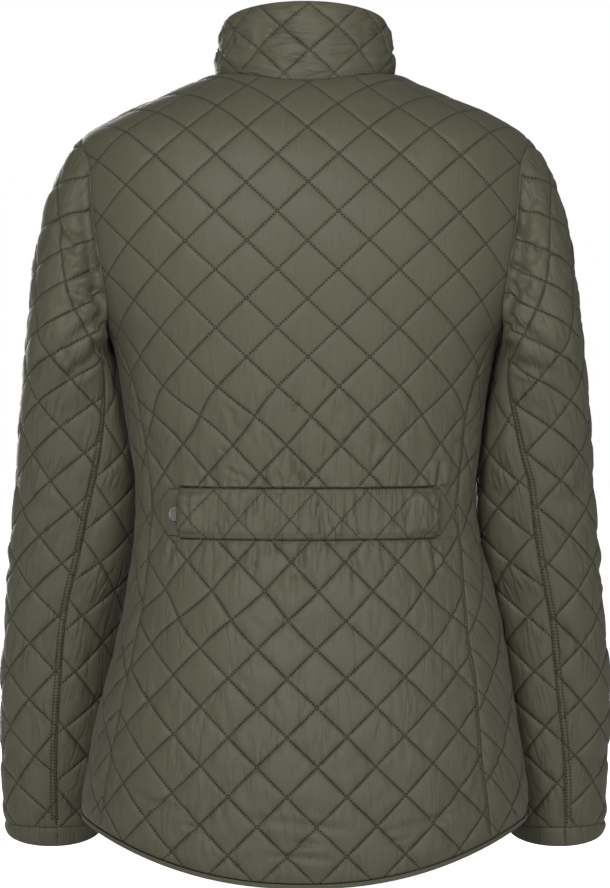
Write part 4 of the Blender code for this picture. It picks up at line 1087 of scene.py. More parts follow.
def sew(name, cloth, edges, relief, quilt=None, step=None, thick=WALL, floor=None, plain=None,
        extra=(), wear=lambda u, v: 0.6 + 0 * u, sag=None):
    """Makes one piece. relief(u, v, a, b, far) is how far its outer points stand off the form.

    Its net follows the quilting, or is even with a step. floor is where its inner side lies, plain
    says where it isn't quilted, and extra are further points of its net. wear(u, v) is how wrinkled
    it is, which scales its wrinkles' bump and their painted shade, and sag(u, v, far) is how far
    both its sides leave the form.
    """
    flat = np.concatenate([e.flat[:-1] for e in edges])
    places, lean = (np.concatenate([e.on(cloth)[k][:-1] for e in edges]) for k in (0, 1))
    sewn = np.concatenate([np.full(len(e.flat) - 1, e.stitched) for e in edges])
    count = len(flat)
    measure_cut(name, flat)
    own = cloth.normal(*flat.T)
    rim = inset(places, own * cloth.facing, SEAM_GAP / 2)
    off = places - cloth.place(*flat.T)
    level = np.concatenate([flat, np.zeros((count, 1))], axis=1)
    rows = [inset(level, np.array([[0, 0, 1.0]]), by)[:, :2] for by in ROLL_ROWS]
    rows = [clear_of(row, flat, by * 0.93) for row, by in zip(rows, ROLL_ROWS)]
    middle = grid_points(flat, step) if step else quilt.points(flat)
    middle = np.concatenate([middle, extra]) if len(extra) else middle
    middle = clear_of(middle, flat, ROLL_ROWS[-1] + 0.9)
    along_rim = lengths(np.vstack([flat, flat[:1]]))

    def lay(where):
        far, which, share = near_edge(where, flat)
        after, t = (which + 1) % count, share[:, None]
        blend = lambda values: values[which] * (1 - t) + values[after] * t
        base = cloth.place(*where.T) + blend(off) * ease(1 - far / 14)[:, None]
        held = ease(1 - far / 9)[:, None]
        normal = unit(cloth.normal(*where.T) * (1 - held) + unit(blend(lean)) * held)
        if sag:
            base = base + normal * (sag(*where.T, far) * ease(far / 4))[:, None]
        base[:count], normal[:count], far[:count] = rim, lean, 0
        run = along_rim[which] * (1 - share) + along_rim[which + 1] * share
        run[:count] = along_rim[:-1]
        return base, normal, far, run, sewn[which]

    where, faces = net(flat, np.concatenate(rows + [middle]))
    base, normal, far, run, stitched = lay(where)
    a, b = quilt.read(*where.T) if quilt else (0 * far + 0.5, 0 * far + 0.5)
    high = relief(*where.T, a, b, far) - EDGE_DROP * np.exp(-far / 1.1)
    pucker = 1 + np.sin(run * 1.2 + 2.2 * uneven(run, 0 * run, 9, 5))
    pucker = pucker * (1 + 0.8 * uneven(run, 0 * run, 14, 6))
    high -= np.where(stitched, PUCKER * pucker, 0) * np.exp(-far / 7)
    if floor is None:
        high = np.maximum(high, (THINNEST - 1) * thick)
    outer = base + normal * high[:, None]
    far = np.where(stitched, far, 1000.0)
    is_plain = np.zeros(len(faces), int)
    if plain:
        is_plain, on_it = plain(*where[faces].mean(axis=1).T).astype(int), plain(*where.T)
        far = np.where(on_it, np.minimum(far, where[:, 0] - where[on_it, 0].min()), far)
    inner_step = 4 * step if step else SAG_STEP if sag else INNER_STEP
    within = clear_of(grid_points(flat, inner_step), flat, 2.5)
    under, inner_faces = net(flat, within)
    base, normal, _, under_run, _ = lay(under)
    deep = np.full(len(under), -thick) if floor is None else floor(*under.T)
    deep[:count] /= np.maximum((own * lean).sum(axis=1), 0.4) if floor is None else 1.0
    inner = base + normal * deep[:, None]
    both = np.concatenate([where, under])
    seam_map = [np.concatenate([run, under_run]), np.append(far, 0 * under_run + 1000.0)]
    maps = {
        "cloth": both * METRES,
        "quilt": np.concatenate([np.stack([a, b], axis=1), np.full((len(under), 2), 0.5)]),
        "wear": np.stack([wear(*both.T)] * 2, axis=1),
        "seam": np.stack(seam_map, axis=1) * METRES,
    }
    made = shell(name, outer, inner, faces, inner_faces, count, maps, cloth.facing, is_plain)
    print(f"{name}: {len(made.data.polygons)} faces, cut {CUTS[name][0]:.3f} x {CUTS[name][1]:.3f} m")
    return made


print("rows of points along an edge:", ROLL_ROWS)

# %% [markdown]
# ## How each piece is stitched, puffed and creased
# The wadding lifts the middle of each diamond. Where the jacket is pressed, under the arms and
# beneath the casing, it stays flat. Over that come the creases of a worn jacket, put in one by one:
# each is a soft trough from one point to another.

# %% The stitching of each form
DIAMOND, COLLAR_DIAMOND = (51.0, 50.3), (46.0, 41.0)  # width and height of a diamond
BODY_CROSSING, SLEEVE_CROSSING, COLLAR_CROSSING = (0.0, 117.0), (131.0, -17.0), (-3.5, 26.0)
DRIFT_TOP, DRIFT, DRIFT_HEIGHT = -2.6, -7.6, 320.0
CASING_TOP, CASING_FOOT, CASING_ENDS = -361.5, -405.0, (-111.3, 107.0)
TAB_TIPS = {-1: -128.5, 1: 130.3}
TAB_CORNERS, TAB_SNAPS = {-1: -115.8, 1: 117.3}, {-1: -108.5, 1: 110.2}
DRAWN_IN, DRAWN_HEIGHT, DRAWN_WIDTH = 0.085, 110.0, 150.0  # how the casing gathers the stitching
TURN, TURN_BELOW, TURN_HEIGHT, TURN_U = 0.27, 100.0, 210.0, 41.0
WAIST_SHIFT, EASED_OUT = 3.0, 0.033  # its shift at the waist, and how much wider it is on the shoulders


def waist_flat(x, level):
    """(u, v) of a point of the back given as seen from behind."""
    point = np.array([[x, float(back_y(np.array(x), np.array(level))), level]])
    return BACK.flat(across(point, False), point)[0]


WAIST_LEVEL = (CASING_TOP + CASING_FOOT) / 2
WAIST_V, CASING_HALF = waist_flat(0.0, WAIST_LEVEL)[1], (CASING_TOP - CASING_FOOT) / 2
CASING_U = [waist_flat(x, WAIST_LEVEL)[0] for x in CASING_ENDS]
TIP_U = {side: waist_flat(x, WAIST_LEVEL)[0] for side, x in TAB_TIPS.items()}


def wavy(seed, by):
    return lambda u, v: (u + by * uneven(u, v, 55, seed), v + by * uneven(u, v, 55, seed + 1))


def back_warp(u, v):
    """The back's stitching drifts sideways down the cloth, and the casing draws it together."""
    x, y = wavy(11, 0.8)(u, v)
    near_waist = ease((DRAWN_HEIGHT - np.abs(v - WAIST_V)) / 45)
    x = x - DRIFT_TOP - DRIFT * ease(-v / DRIFT_HEIGHT) + WAIST_SHIFT * near_waist
    wide = 1 - DRAWN_IN * near_waist + EASED_OUT * ease((v + 110) / 60)
    return x + np.clip(x, -DRAWN_WIDTH, DRAWN_WIDTH) * (1 / wide - 1), y


def sleeve_warp(seed):
    """Towards a sleeve's head its stitching turns, because the cloth follows the arm up to the shoulder."""

    def warp(u, v):
        x, y = wavy(seed, 1.3)(u, v)
        t = np.clip((v + TURN_BELOW) / TURN_HEIGHT, 0, 1)
        summed = TURN_HEIGHT * (t**3 - t**4 / 2) + np.maximum(v + TURN_BELOW - TURN_HEIGHT, 0)
        return x - TURN * summed, y + TURN * ease(t) * (u - TURN_U)

    return warp


def collar_warp(u, v):
    """The collar's stitching is wider at its top, and droops to the sides."""
    x, y = wavy(41, 0.6)(u, v)
    wide = 0.965 + 0.175 * ease(v / 50)
    return x + np.clip(x, -110, 110) * (1 / wide - 1), y + 4.5 * np.minimum(u / 55, 2) ** 2


BACK_QUILT = Quilt(DIAMOND, BODY_CROSSING, back_warp)
FRONT_QUILT = Quilt(DIAMOND, BODY_CROSSING, wavy(21, 0.9))
SLEEVE_QUILTS = {side: Quilt(DIAMOND, SLEEVE_CROSSING, sleeve_warp(31 + side)) for side in (1, -1)}
COLLAR_QUILT = Quilt(COLLAR_DIAMOND, COLLAR_CROSSING, collar_warp)
CASING_QUILT = Quilt((44.0, 50.3), waist_flat(12.6, -388.0), wavy(45, 1.2))
print("the casing's middle is at v", round(WAIST_V, 1), "and its ends at u", [round(u) for u in CASING_U])

# %% Table of the back's creases
BACK_CREASES = [  # x and level of the top, x and level of the foot, depth, width
    (15.4, -279.3, 11.1, -313.6, 1.2, 2.8), (7.7, -279.3, 5.1, -311, 1.1, 2.4),
    (-18.8, -263.9, -16.3, -279.3, 1, 2.4), (-28.2, -279.3, -24.8, -313.6, 1.3, 2.8),
    (-19.7, -312.7, -17.1, -336.7, 1.3, 2.6), (66.8, -287.9, 57.4, -313.6, 1.5, 3.2),
    (36, -311, 27.4, -335, 1.4, 3), (6.8, -317.9, 6.8, -336.7, 1.2, 2.4),
    (25.7, -342.7, 24.8, -353.8, 1.1, 2.2), (23.1, -347, 19.7, -359.8, 1.1, 2.2),
    (11.1, -328.1, 8.6, -358.1, 1.5, 2.6), (2.6, -342.7, 2.6, -359.8, 1.2, 2.2),
    (-86.5, -298.2, -85.6, -312.7, 1.1, 2.6), (-59.9, -308.4, -59.1, -336.7, 1.5, 3),
    (66.8, -342.7, 57.4, -352.1, 1.2, 2.6), (55.6, -347, 48.8, -358.1, 1.2, 2.6),
    (73.6, -323.9, 68.5, -332.4, 1.1, 2.6), (-117.3, -334, -112, -366, 2.3, 3.6),
    (41.1, -406.9, 44.5, -435.1, 1.5, 2.8), (4.3, -402.9, 3.4, -434.6, 2, 3),
    (-39.4, -412.3, -42.8, -432.9, 1.4, 2.8), (9.4, -428.9, 11.1, -460.3, 1.3, 3),
    (-41.1, -428.9, -41.9, -460.3, 1.3, 3), (32.5, -406.9, 31.7, -420, 1.1, 2.4),
    (-18.8, -405.9, -19.7, -417.5, 1.1, 2.4), (-53.9, -405.9, -58.2, -416.9, 1.2, 2.4),
    (-108.7, -404.9, -114, -440.1, 2.2, 3.6), (112, -404, 118, -432, 1.6, 3.4),
    (150, -300, 128, -322, 1.4, 5), (-150, -296, -126, -330, 1.4, 5), (60, -640, -50, -652, 1.2, 4),
    (-60, -655, -140, -634, 1.4, 4), (155, -618, 90, -640, 1.4, 4), (40, -672, -30, -676, 1.4, 3),
    (142, -628, 122, -633, 1.5, 2.6), (108, -646, 84, -652, 1.4, 2.6), (12, -661, -14, -664, 1.5, 2.6),
    (-66, -664, -96, -655, 1.4, 2.6),
]
print("creases of the back:", len(BACK_CREASES))

# %% Tables of the fronts' and the sleeves' creases
FRONT_CREASES = [  # u and v of both ends, depth, width, on each front
    (60, -90, 66, -150, 1.4, 4), (95, -100, 92, -170, 1.6, 4.5), (150, -95, 140, -150, 1.5, 4.5),
    (205, -90, 186, -140, 1.8, 5), (196, -10, 150, -40, 2.2, 7), (180, 30, 132, 12, 2, 7),
    (70, -170, 74, -230, 1.3, 4.5), (130, -175, 138, -235, 1.4, 5), (60, -395, 150, -405, 1, 6),
    (90, 60, 60, 20, 1, 6),
]
SLEEVE_CREASES = {  # u and v of both ends, depth, width
    1: [
        (150, 40, 118, 4, 2.6, 6), (158, 8, 122, -34, 2.4, 6), (-150, 20, -110, -10, 2.8, 7),
        (-158, -22, -112, -52, 2.6, 7), (-60, -120, 30, -150, 3, 8), (-96, -150, -20, -188, 3.4, 8),
        (-70, -205, 10, -214, 2.6, 7), (40, -180, 110, -204, 2.2, 7), (100, -128, 148, -150, 2, 7),
        (-20, -262, 60, -284, 1.8, 7), (-110, -330, -40, -344, 1.8, 7), (60, -372, 124, -360, 1.6, 6),
        (53, 132, 104, 92, 3.2, 3.2), (62, 134, 96, 112, 2.4, 2.6), (102, 65, 138, 58, 3.6, 3.4),
        (102, 74, 125, 83, 2.8, 2.8), (101, 110, 124, 77, 3.2, 3.4), (84, 88, 114, 88, 2, 2.6),
        (112, 52, 143, 34, 2.8, 3), (104, 23, 143, -18, 2.2, 3),
    ],
    -1: [
        (154, 34, 112, 0, 2.8, 6), (160, -4, 118, -22, 2.4, 5), (-152, 30, -108, -4, 2.8, 7),
        (-160, -16, -114, -60, 2.6, 7), (-50, -114, 36, -140, 2.8, 8), (-104, -160, -16, -180, 3.4, 8),
        (-62, -212, 16, -222, 2.6, 7), (52, -190, 118, -210, 2.2, 7), (96, -116, 146, -142, 2, 7),
        (-30, -272, 52, -286, 1.8, 7), (-100, -338, -30, -348, 1.8, 7), (64, -366, 120, -376, 1.6, 6),
        (59, 161, 83, 136, 2.8, 3), (83, 136, 110, 110, 3.2, 3), (83, 112, 106, 84, 3.6, 3),
        (106, 84, 125, 58, 3.6, 3.2), (131, 74, 130, 47, 2.8, 3), (124, 58, 116, 46, 2.2, 2.6),
        (124, 88, 108, 78, 2.4, 2.6), (149, 36, 136, 23, 2.6, 3), (83, 100, 71, 88, 1.8, 2.6),
    ],
}
print("creases of a front:", len(FRONT_CREASES), "and of a sleeve:", len(SLEEVE_CREASES[1]))

# %% What the back and the fronts share
ARM_U, ARM_U_EASE, ARM_V, ARM_V_EASE, ARM_PRESS = 150.0, 30.0, -130.0, 40.0, 0.7
GATHER = 11.2  # between two gathers
BACK_DEEPER, BACK_NARROWER = 1.6, 0.86  # than the table of its creases says
back_creases = [
    (waist_flat(x, z), waist_flat(end_x, end_z), deep, wide)
    for x, z, end_x, end_z, deep, wide in BACK_CREASES
]


def past_casing(u):
    """How far beyond the nearer end of the casing, below 0 over the casing itself."""
    return np.abs(u - sum(CASING_U) / 2) - (CASING_U[1] - CASING_U[0]) / 2


def lower_down(v, least):
    """From least over the shoulder blades, where the cloth is pulled flat, to 1 at the waist."""
    return least + (1 - least) * ease((10 - v) / 140)


def near_arm(u, v):
    beside = ease((np.abs(u) - ARM_U) / ARM_U_EASE) * ease((v - ARM_V) / ARM_V_EASE)
    return 1 - ARM_PRESS * beside


def creased(u, v, rows):
    return sum(
        crease(u, v, start, end, BACK_DEEPER * deep, BACK_NARROWER * wide, 0.6)
        for start, end, deep, wide in rows
    )


def hem_waves(u, v, far, deep, seed):
    """Small waves beside the edges, low on the jacket."""
    waves = deep * np.cos(v / 2.9 + 2.2 * uneven(u, v, 30, seed))
    return waves * np.exp(-far / 22) * ease(far / 8) * (v < -300)


def gathers(u, v, seed):
    """The fan of small pleats above and below the casing."""
    off = np.abs(v - WAIST_V) - CASING_HALF
    reach = 13 + 8 * uneven(u, 0 * u, 17, seed)
    ends = ease((u - CASING_U[0] + 6) / 14) * ease((CASING_U[1] + 6 - u) / 14)
    ridge = 2 * np.abs(np.sin(math.pi * (u + 2.6 * uneven(u, 0 * v, 21, seed + 1)) / GATHER)) ** 0.8 - 1
    pleats = ridge * 0.65 + 0.35 * uneven(u, 0 * v, 5, seed + 2)
    return 1.8 * ends * pleats * np.exp(-np.maximum(off, 0) / reach)


def fully(u, v):
    return 1.0 + 0 * u


def back_wear(u, v):
    """How wrinkled the cloth is: hardly over the shoulder blades, and most beside the casing."""
    beside = np.exp(-np.maximum(np.abs(v - WAIST_V) - CASING_HALF, 0) / 34) * ease((165 - np.abs(u)) / 50)
    return np.maximum(0.12 + 0.38 * ease((60 - v) / 180), beside)


print("beside the arms the puffs keep", round(float(near_arm(200.0, 0.0)), 2), "of their height")

# %% How far the outer sides of the back and the fronts stand off their forms
PUFF = 2.7
SLOW = 1.4  # the slow unevenness of a worn jacket, in millimetres
BACK_LEAST, FRONT_LEAST, LEAST_RUMPLE = 0.62, 0.75, 0.2  # what the shoulders have of puffs and rumples


def back_relief(u, v, a, b, far):
    across_u = np.maximum(np.maximum(TIP_U[-1] - u, u - TIP_U[1]), 0)
    off = np.hypot(across_u, np.maximum(np.abs(v - WAIST_V) - CASING_HALF, 0))
    high = puffs(a, b, BACK_QUILT.apart, PUFF * lower_down(v, BACK_LEAST), 1)
    high = high * near_arm(u, v) * ease((far + 3) / 13)
    high += SLOW * uneven(u, v, 62, 3) * ease(far / 30) + creased(u, v, back_creases) * ease(far / 14)
    high += rumple(u, v, 61) * lower_down(v, LEAST_RUMPLE) * ease(far / 8)
    below = v < WAIST_V
    high += np.where(below, gathers(u, v, 60), gathers(u, v, 50)) * ease(far / 12)
    high += hem_waves(u, v, far, 0.45, 7)
    rim = np.hypot(np.maximum(past_casing(u), 0), off * (off > 0))
    rim = np.where(np.abs(v - WAIST_V) > CASING_HALF, rim, 9)
    lip, groove = 1.7 * bell(rim - 2.2, 0.9), 1.1 * bell(rim, 0.9)
    return high * ease((off - 0.2) / 3.2) + lip - groove


def front_relief(side, placket):
    def relief(u, v, a, b, far):
        high = puffs(a, b, FRONT_QUILT.apart, PUFF * lower_down(v, FRONT_LEAST), 5 + side)
        high = high * near_arm(u, v) * ease((far + 3) / 13)
        for u0, v0, u1, v1, deep, wide in FRONT_CREASES:
            high += crease(u, v, (side * u0, v0), (side * u1, v1), deep, wide, 1.0) * ease(far / 14)
        high += SLOW * uneven(u, v, 62, 8 + side) * ease(far / 30)
        high += rumple(u, v, 64) * lower_down(v, LEAST_RUMPLE) * ease(far / 8)
        high += hem_waves(u, v, far, 0.4, 9)
        return high * ease((OVERLAP - PLACKET - u) / 5) if placket else high

    return relief


print("puffs stand", PUFF, "mm proud")

# %% And those of the sleeves and the collar
PRESS_GAP, PRESS_EASE, LEAST_PUFF = 3.5, 6.0, 0.15  # where the body presses a sleeve flat
FULLER, TUCKED, FOLDED = 10.5, 8.5, 2.2  # under the arm, how far the sleeve is out, in, and folded
COLLAR_PUFF = 2.2


def under_arm(u, v, far):
    """A sleeve is full at its inner front, and tucked in with folds beside the armhole's back."""
    full = bell(u + sleeve_girth(SLEEVE_TOP) / 2 - 62, 26)
    full = full * ease((v + 84) / 70) * ease((34 - v) / 26)
    below = np.interp(u, *CAPS["left"].T) - v  # how far below the armhole
    beside = ease((u - 56) / 26) * ease((160 - u) / 20)
    beside = beside * bell(far - 7.5, 6.5) * ease((v + 14) / 22)
    wave = np.sin((v + 0.35 * u + 7 * uneven(u, v, 24, 88)) / 3.6)
    folds = ease((u - 66) / 30) * ease((150 - v) / 60) * bell(below - 20, 20) * wave
    return FULLER * full - TUCKED * beside + FOLDED * folds * ease((v + 34) / 24)


def sleeve_relief(side):
    quilt = SLEEVE_QUILTS[side]

    def relief(u, v, a, b, far):
        left = SLEEVES[1].place(u, v)
        gap = left[:, 0] - side_x(left[:, 1], left[:, 2], 1)
        room = np.clip((gap - PRESS_GAP) / PRESS_EASE, LEAST_PUFF, 1)
        room = np.maximum(room, ease((v - 8) / 16) * ease((150 - np.abs(u)) / 16))
        high = puffs(a, b, quilt.apart, PUFF, 14 + side) * ease((far + 3) / 13)
        high += SLOW * uneven(u, v, 58, 17 + side) * ease(far / 26)
        rumples = 0.6 * rumple(u, v, 67 + side) + 0.7 * rumple(v, u, 71 + side) * ease((v + 120) / 80)
        high += rumples * ease(far / 8)
        for u0, v0, u1, v1, deep, wide in SLEEVE_CREASES[side]:
            high += crease(u, v, (u0, v0), (u1, v1), deep, wide, 1.4) * ease(far / 7)
        high += 0.22 * np.cos(u / 2.6 + 2 * uneven(u, v, 24, 4)) * np.exp(-far / 7) * (v > 0)
        return high * room

    return relief


def collar_relief(u, v, a, b, far):
    high = puffs(a, b, COLLAR_QUILT.apart, COLLAR_PUFF, 23) * ease((far + 3) / 12)
    wrinkles = np.cos(v / 1.9 + 2.6 * uneven(u, v, 34, 24)) * (0.5 + 0.5 * uneven(u, v, 16, 25))
    high += (0.5 * wrinkles + 0.8 * uneven(u, v, 45, 26) + 1.3 * rumple(v, u, 75)) * ease(far / 10)
    return high - 0.5 * bell(far - 3.9, 0.9) * (v > 30)


print("the collar's puffs stand", COLLAR_PUFF, "mm proud")

# %% [markdown]
# ## The back, the fronts and the collar
# These are cut first, as a maker cuts them. The back's side seams are topstitched with two rows. The
# right front closes over the left one, and has a plain strip for its snaps. Solidify would give the
# walls too, but it pushes all points out by their own normals, so that two pieces at a seam would
# run into each other. Sharing a lean at the seam keeps them apart.

# %% The back
low_u, high_u = CASING_U
rows_off = (-0.8, 0.1, 1.0, 1.9, 2.8, 4.0, *range(6, 36, 2))
casing_rows = np.array([  # more points of the net, along the casing's long edges
    (u, WAIST_V + way * (CASING_HALF + off))
    for u in np.arange(low_u - 8, high_u + 8, 2.1)
    for way in (1, -1)
    for off in rows_off
])
back = sew(
    "jacket_back",
    BACK,
    [
        seam("hem_back", False),
        seam("side_left", False, stitched=True),
        seam("hole_back_left", False, backwards=True),
        seam("shoulder_left", False, backwards=True),
        seam("neck_back", False, backwards=True),
        seam("shoulder_right", False),
        seam("hole_back_right", False),
        seam("side_right", False, backwards=True, stitched=True),
    ],
    back_relief,
    BACK_QUILT,
    extra=casing_rows,
    wear=back_wear,
)

# %% The fronts
hem, neck = (seam(name, True, sunk=True) for name in ("hem_left", "neck_left"))
front_left = sew(
    "jacket_front_left",
    LEFT_FRONT,
    [
        seam("hem_left", True, backwards=True, sunk=True),
        seam("side_left", True),
        seam("hole_front_left", True),
        seam("shoulder_left", True, backwards=True),
        neck,
        straight(neck.flat[-1], hem.flat[-1]),
    ],
    front_relief(1, False),
    FRONT_QUILT,
)
hem, neck = (seam(name, True) for name in ("hem_right", "neck_right"))
PLACKET_U = OVERLAP - PLACKET
placket_line = np.array([(PLACKET_U, v) for v in np.arange(-460.0, 170.0, SPACING)])
front_right = sew(
    "jacket_front_right",
    FRONT,
    [
        seam("hem_right", True, backwards=True),
        straight(hem.flat[0], neck.flat[0], stitched=True),
        seam("neck_right", True),
        seam("shoulder_right", True),
        seam("hole_front_right", True, backwards=True),
        seam("side_right", True, backwards=True),
    ],
    front_relief(-1, True),
    FRONT_QUILT,
    plain=lambda u, v: u > PLACKET_U - 0.01,
    extra=placket_line,
)

# %% The collar
neck_lines = ("neck_right", "neck_back", "neck_left")
neck_parts = [[of[name] for name in neck_lines] for of in (collar_u, SEAMS, LEANS)]
u, points, lean = (joined(parts) for parts in neck_parts)
top_u = np.linspace(u[-1], u[0], 160)
top = np.stack([top_u, [collar_height(at) for at in top_u]], axis=1)
collar = sew(
    "jacket_collar",
    SUNK_COLLAR,
    [
        Edge(np.stack([u, 0 * u], axis=1), points - lean * underlap(NECK_HALF - u)[:, None], lean),
        straight((u[-1], 0), top[0]),
        Edge(top),
        straight(top[-1], (u[0], 0)),
    ],
    collar_relief,
    COLLAR_QUILT,
    wear=fully,
)

# %% [markdown]
# ## The sleeves and their cuffs
# A sleeve's two long edges meet at its seam, so both take the same row of places. Its foot isn't
# level: it rises towards the front of the hand. A plain band is sewn to it.

# %% Edges of the sleeve
SEAM_SWAY = np.array([  # level, and how far round to the outside the right sleeve's seam lies there
    (-245, 0), (-300, 8), (-355, 12), (-400, 8), (-460, 4.5), (-548, 6), (-620, 10), (-690, 12.5)
])[::-1]


def sway(level, side):
    return np.interp(level, *SEAM_SWAY.T) if side < 0 else 0 * level


def sleeve_foot(level, side):
    """The cuff's seam or its edge, from one side of the sleeve's seam round to the other."""
    flat, off = [], sway(level, side)
    for share in np.linspace(0, 1, 91):
        y = on_sleeve_ring(level, (share - off / sleeve_girth(level)) % 1)[1]
        to_back = (y - sleeve_columns[1](level)) / sleeve_columns[3](level)
        sides, front = CUFF_RISE[level]
        here = level + (sides * (1 - to_back) if to_back > 0 else sides - (front - sides) * to_back)
        flat.append(((share - 0.5) * sleeve_girth(here) - off, sleeve_v(here)))
    flat = np.array(flat)
    places, lean = SLEEVES[side].place(*flat.T), SLEEVES[side].normal(*flat.T)
    places[-1], lean[-1] = places[0], lean[0]
    return flat, places, lean


def sleeve_sides(foot, cap, first, side):
    """The sleeve's two edges at its seam, from the foot up to the armhole."""
    v = np.linspace(foot[0][0, 1], cap[0, 1], round((cap[0, 1] - foot[0][0, 1]) / SPACING))
    level = np.interp(v, sleeve_v(SLEEVE_LEVELS), SLEEVE_LEVELS)
    half = np.array([sleeve_girth(z) / 2 for z in level])
    half[0], half[-1] = np.ptp(foot[0][[0, -1], 0]) / 2, cap[-1, 0]
    off = sway(level, side)
    off[0] = -foot[0][[0, -1], 0].mean()
    left = np.stack([-half - off, v], axis=1)
    places, lean = SLEEVES[side].place(*left.T), SLEEVES[side].normal(*left.T)
    near_top = ease((v - v[-1] + 30) / 30)[:, None]
    places = places + (first[0] - places[-1]) * near_top
    lean = unit(lean * (1 - near_top) + first[1] * near_top)
    places[0], lean[0] = foot[1][0], foot[2][0]
    return left, np.stack([half - off, v], axis=1), places, lean


print("the sleeve's foot has", len(sleeve_foot(CUFF_SEAM, 1)[0]), "points")

# %% The sleeves
sleeves, cuffs = {}, {}
for word, side in SIDES:
    cap, holes = CAPS[word], HOLES[word]
    lean = joined([LEANS["hole_front_" + word], LEANS["hole_back_" + word]])
    foot = sleeve_foot(CUFF_SEAM, side)
    left, right, places, tilt = sleeve_sides(foot, cap, (holes[0], lean[0]), side)
    sleeves[word] = sew(
        "sleeve_piece_" + word,
        SLEEVES[side],
        [
            Edge(*foot),
            Edge(right, places, tilt, stitched=True),
            Edge(cap[::-1], holes[::-1], lean[::-1]),
            Edge(left[::-1], places[::-1], tilt[::-1]),
        ],
        sleeve_relief(side),
        SLEEVE_QUILTS[side],
        wear=lambda u, v: 0.9 + 0 * u,
        sag=under_arm,
    )

# %% The cuffs
def band_relief(seed, high=0.5):
    def relief(u, v, a, b, far):
        return high * (0.6 + uneven(u, v * 2.5, 14, seed)) * ease(far / 4) + 0.6 * (1 - np.exp(-far / 2.5))

    return relief


for word, side in SIDES:
    low, high = sleeve_foot(CUFF_EDGE, side), sleeve_foot(CUFF_SEAM, side)
    t = np.linspace(0, 1, 7)[:, None]
    ends = [[a[k] + (b[k] - a[k]) * t for a, b in zip(low, high)] for k in (-1, 0)]
    cuffs[word] = sew(
        "cuff_piece_" + word,
        SLEEVES[side],
        [
            Edge(*low),
            Edge(*ends[0]),
            Edge(*(part[::-1] for part in high)),
            Edge(*(part[::-1] for part in ends[1])),
        ],
        band_relief(70 + side),
        step=2.6,
        thick=1.8,
    )

# %% [markdown]
# ## The casing, its tabs and the bound hem
# Elastic inside the casing gathers it, so its flat cut is longer than what shows. A plain wave makes
# even pleats, which no sewing machine does, so the waves are pushed about by the unevenness first.
# The binding is a strip folded round the hem's edge, and its form is a fold swept along that edge.

# %% The casing
CASING_WALL, GATHER_HEIGHT = 1.7, 1.8
PLEATS = [  # the casing's deep pleats: x at its top and at its foot, and depth
    (74.5, 73.6, 1.2), (49.7, 51.5, 1.1), (23.1, 27.4, 1.4), (3.4, 6.0, 1.6), (-10.3, -13.7, 1.5),
    (-25.7, -24.0, 1.2),
    (-42.8, -45.4, 1.6), (-57.4, -56.5, 1.3), (-75.3, -73.0, 1.0), (-85.6, -86.5, 1.1), (90.0, 92.0, 0.8),
]
pleat_rows = [(*(waist_flat(x, WAIST_LEVEL)[0] for x in row[:2]), row[2]) for row in PLEATS]
MOUTH_LIFT, MOUTH_LENGTH, MOUTH_EASE, MOUTH_SIDE, TAB_HALF = 4.7, 30.0, 16.0, 8.0, 20.5
TUCK_ROWS = (1.2, 3.9)  # its two tucks run this far in from its long edges


def casing_floor(u, v):
    """Its inside: laid on the back, and open at its ends, where the tabs come out."""
    along = ease((past_casing(u) + MOUTH_LENGTH) / MOUTH_EASE)
    return LAID_GAP + MOUTH_LIFT * (along * ease((TAB_HALF - np.abs(v - WAIST_V)) / MOUTH_SIDE))


def casing_relief(u, v, a, b, far):
    shift = 3.4 * uneven(u, v / 3, 19, 80) + 1.2 * uneven(u, v, 7, 81)
    pleats = np.abs(np.sin(math.pi * (u + shift) / GATHER)) ** 0.7
    pleats = 1 - (1 - pleats) * (0.75 + 0.5 * uneven(u, v / 2, 12, 82)) + 0.16 * uneven(u, v / 4, 3.2, 83)
    off = CASING_HALF - np.abs(v - WAIST_V)
    tucks = sum(bell(off - row, 0.7) for row in TUCK_ROWS)
    seams = np.minimum(np.abs(a - np.round(a)), np.abs(b - np.round(b))) * CASING_QUILT.apart
    down = 0.5 - (v - WAIST_V) / (2 * CASING_HALF)
    for top_u, foot_u, deep in pleat_rows:
        from_line = u - top_u - (foot_u - top_u) * down + 0.9 * uneven(u, v, 11, 85)
        pleats = pleats - deep / GATHER_HEIGHT * bell(from_line, 1.2)
    outer = GATHER_HEIGHT * pleats * (0.35 + 0.65 * ease(off / 5))
    outer = outer - 0.7 * tucks - 0.35 * bell(seams, 1.3)
    return casing_floor(u, v) + CASING_WALL + np.maximum(outer, -0.9)


def outlined(corners):
    """Straight edges from corner to corner."""
    return [straight(a, b, stitched=True) for a, b in zip(corners, np.roll(corners, -1, axis=0))]


foot_v, top_v = WAIST_V - CASING_HALF, WAIST_V + CASING_HALF
casing = sew(
    "waist_casing_gathered",
    BACK,
    outlined([(low_u, foot_v), (high_u, foot_v), (high_u, top_v), (low_u, top_v)]),
    casing_relief,
    CASING_QUILT,
    step=1.3,
    floor=casing_floor,
    wear=fully,
)

# %% The tabs
TAB_WALL, TONGUE, TONGUE_HALF, TAB_STEP = 1.5, 12.0, 12.0, 0.6
tabs = {}


def tab_relief(u, v, a, b, far):
    return LAID_GAP + TAB_WALL + 0.25 * uneven(u, v, 9, 90) * ease(far / 4) + 0.3 * ease(far / 3)


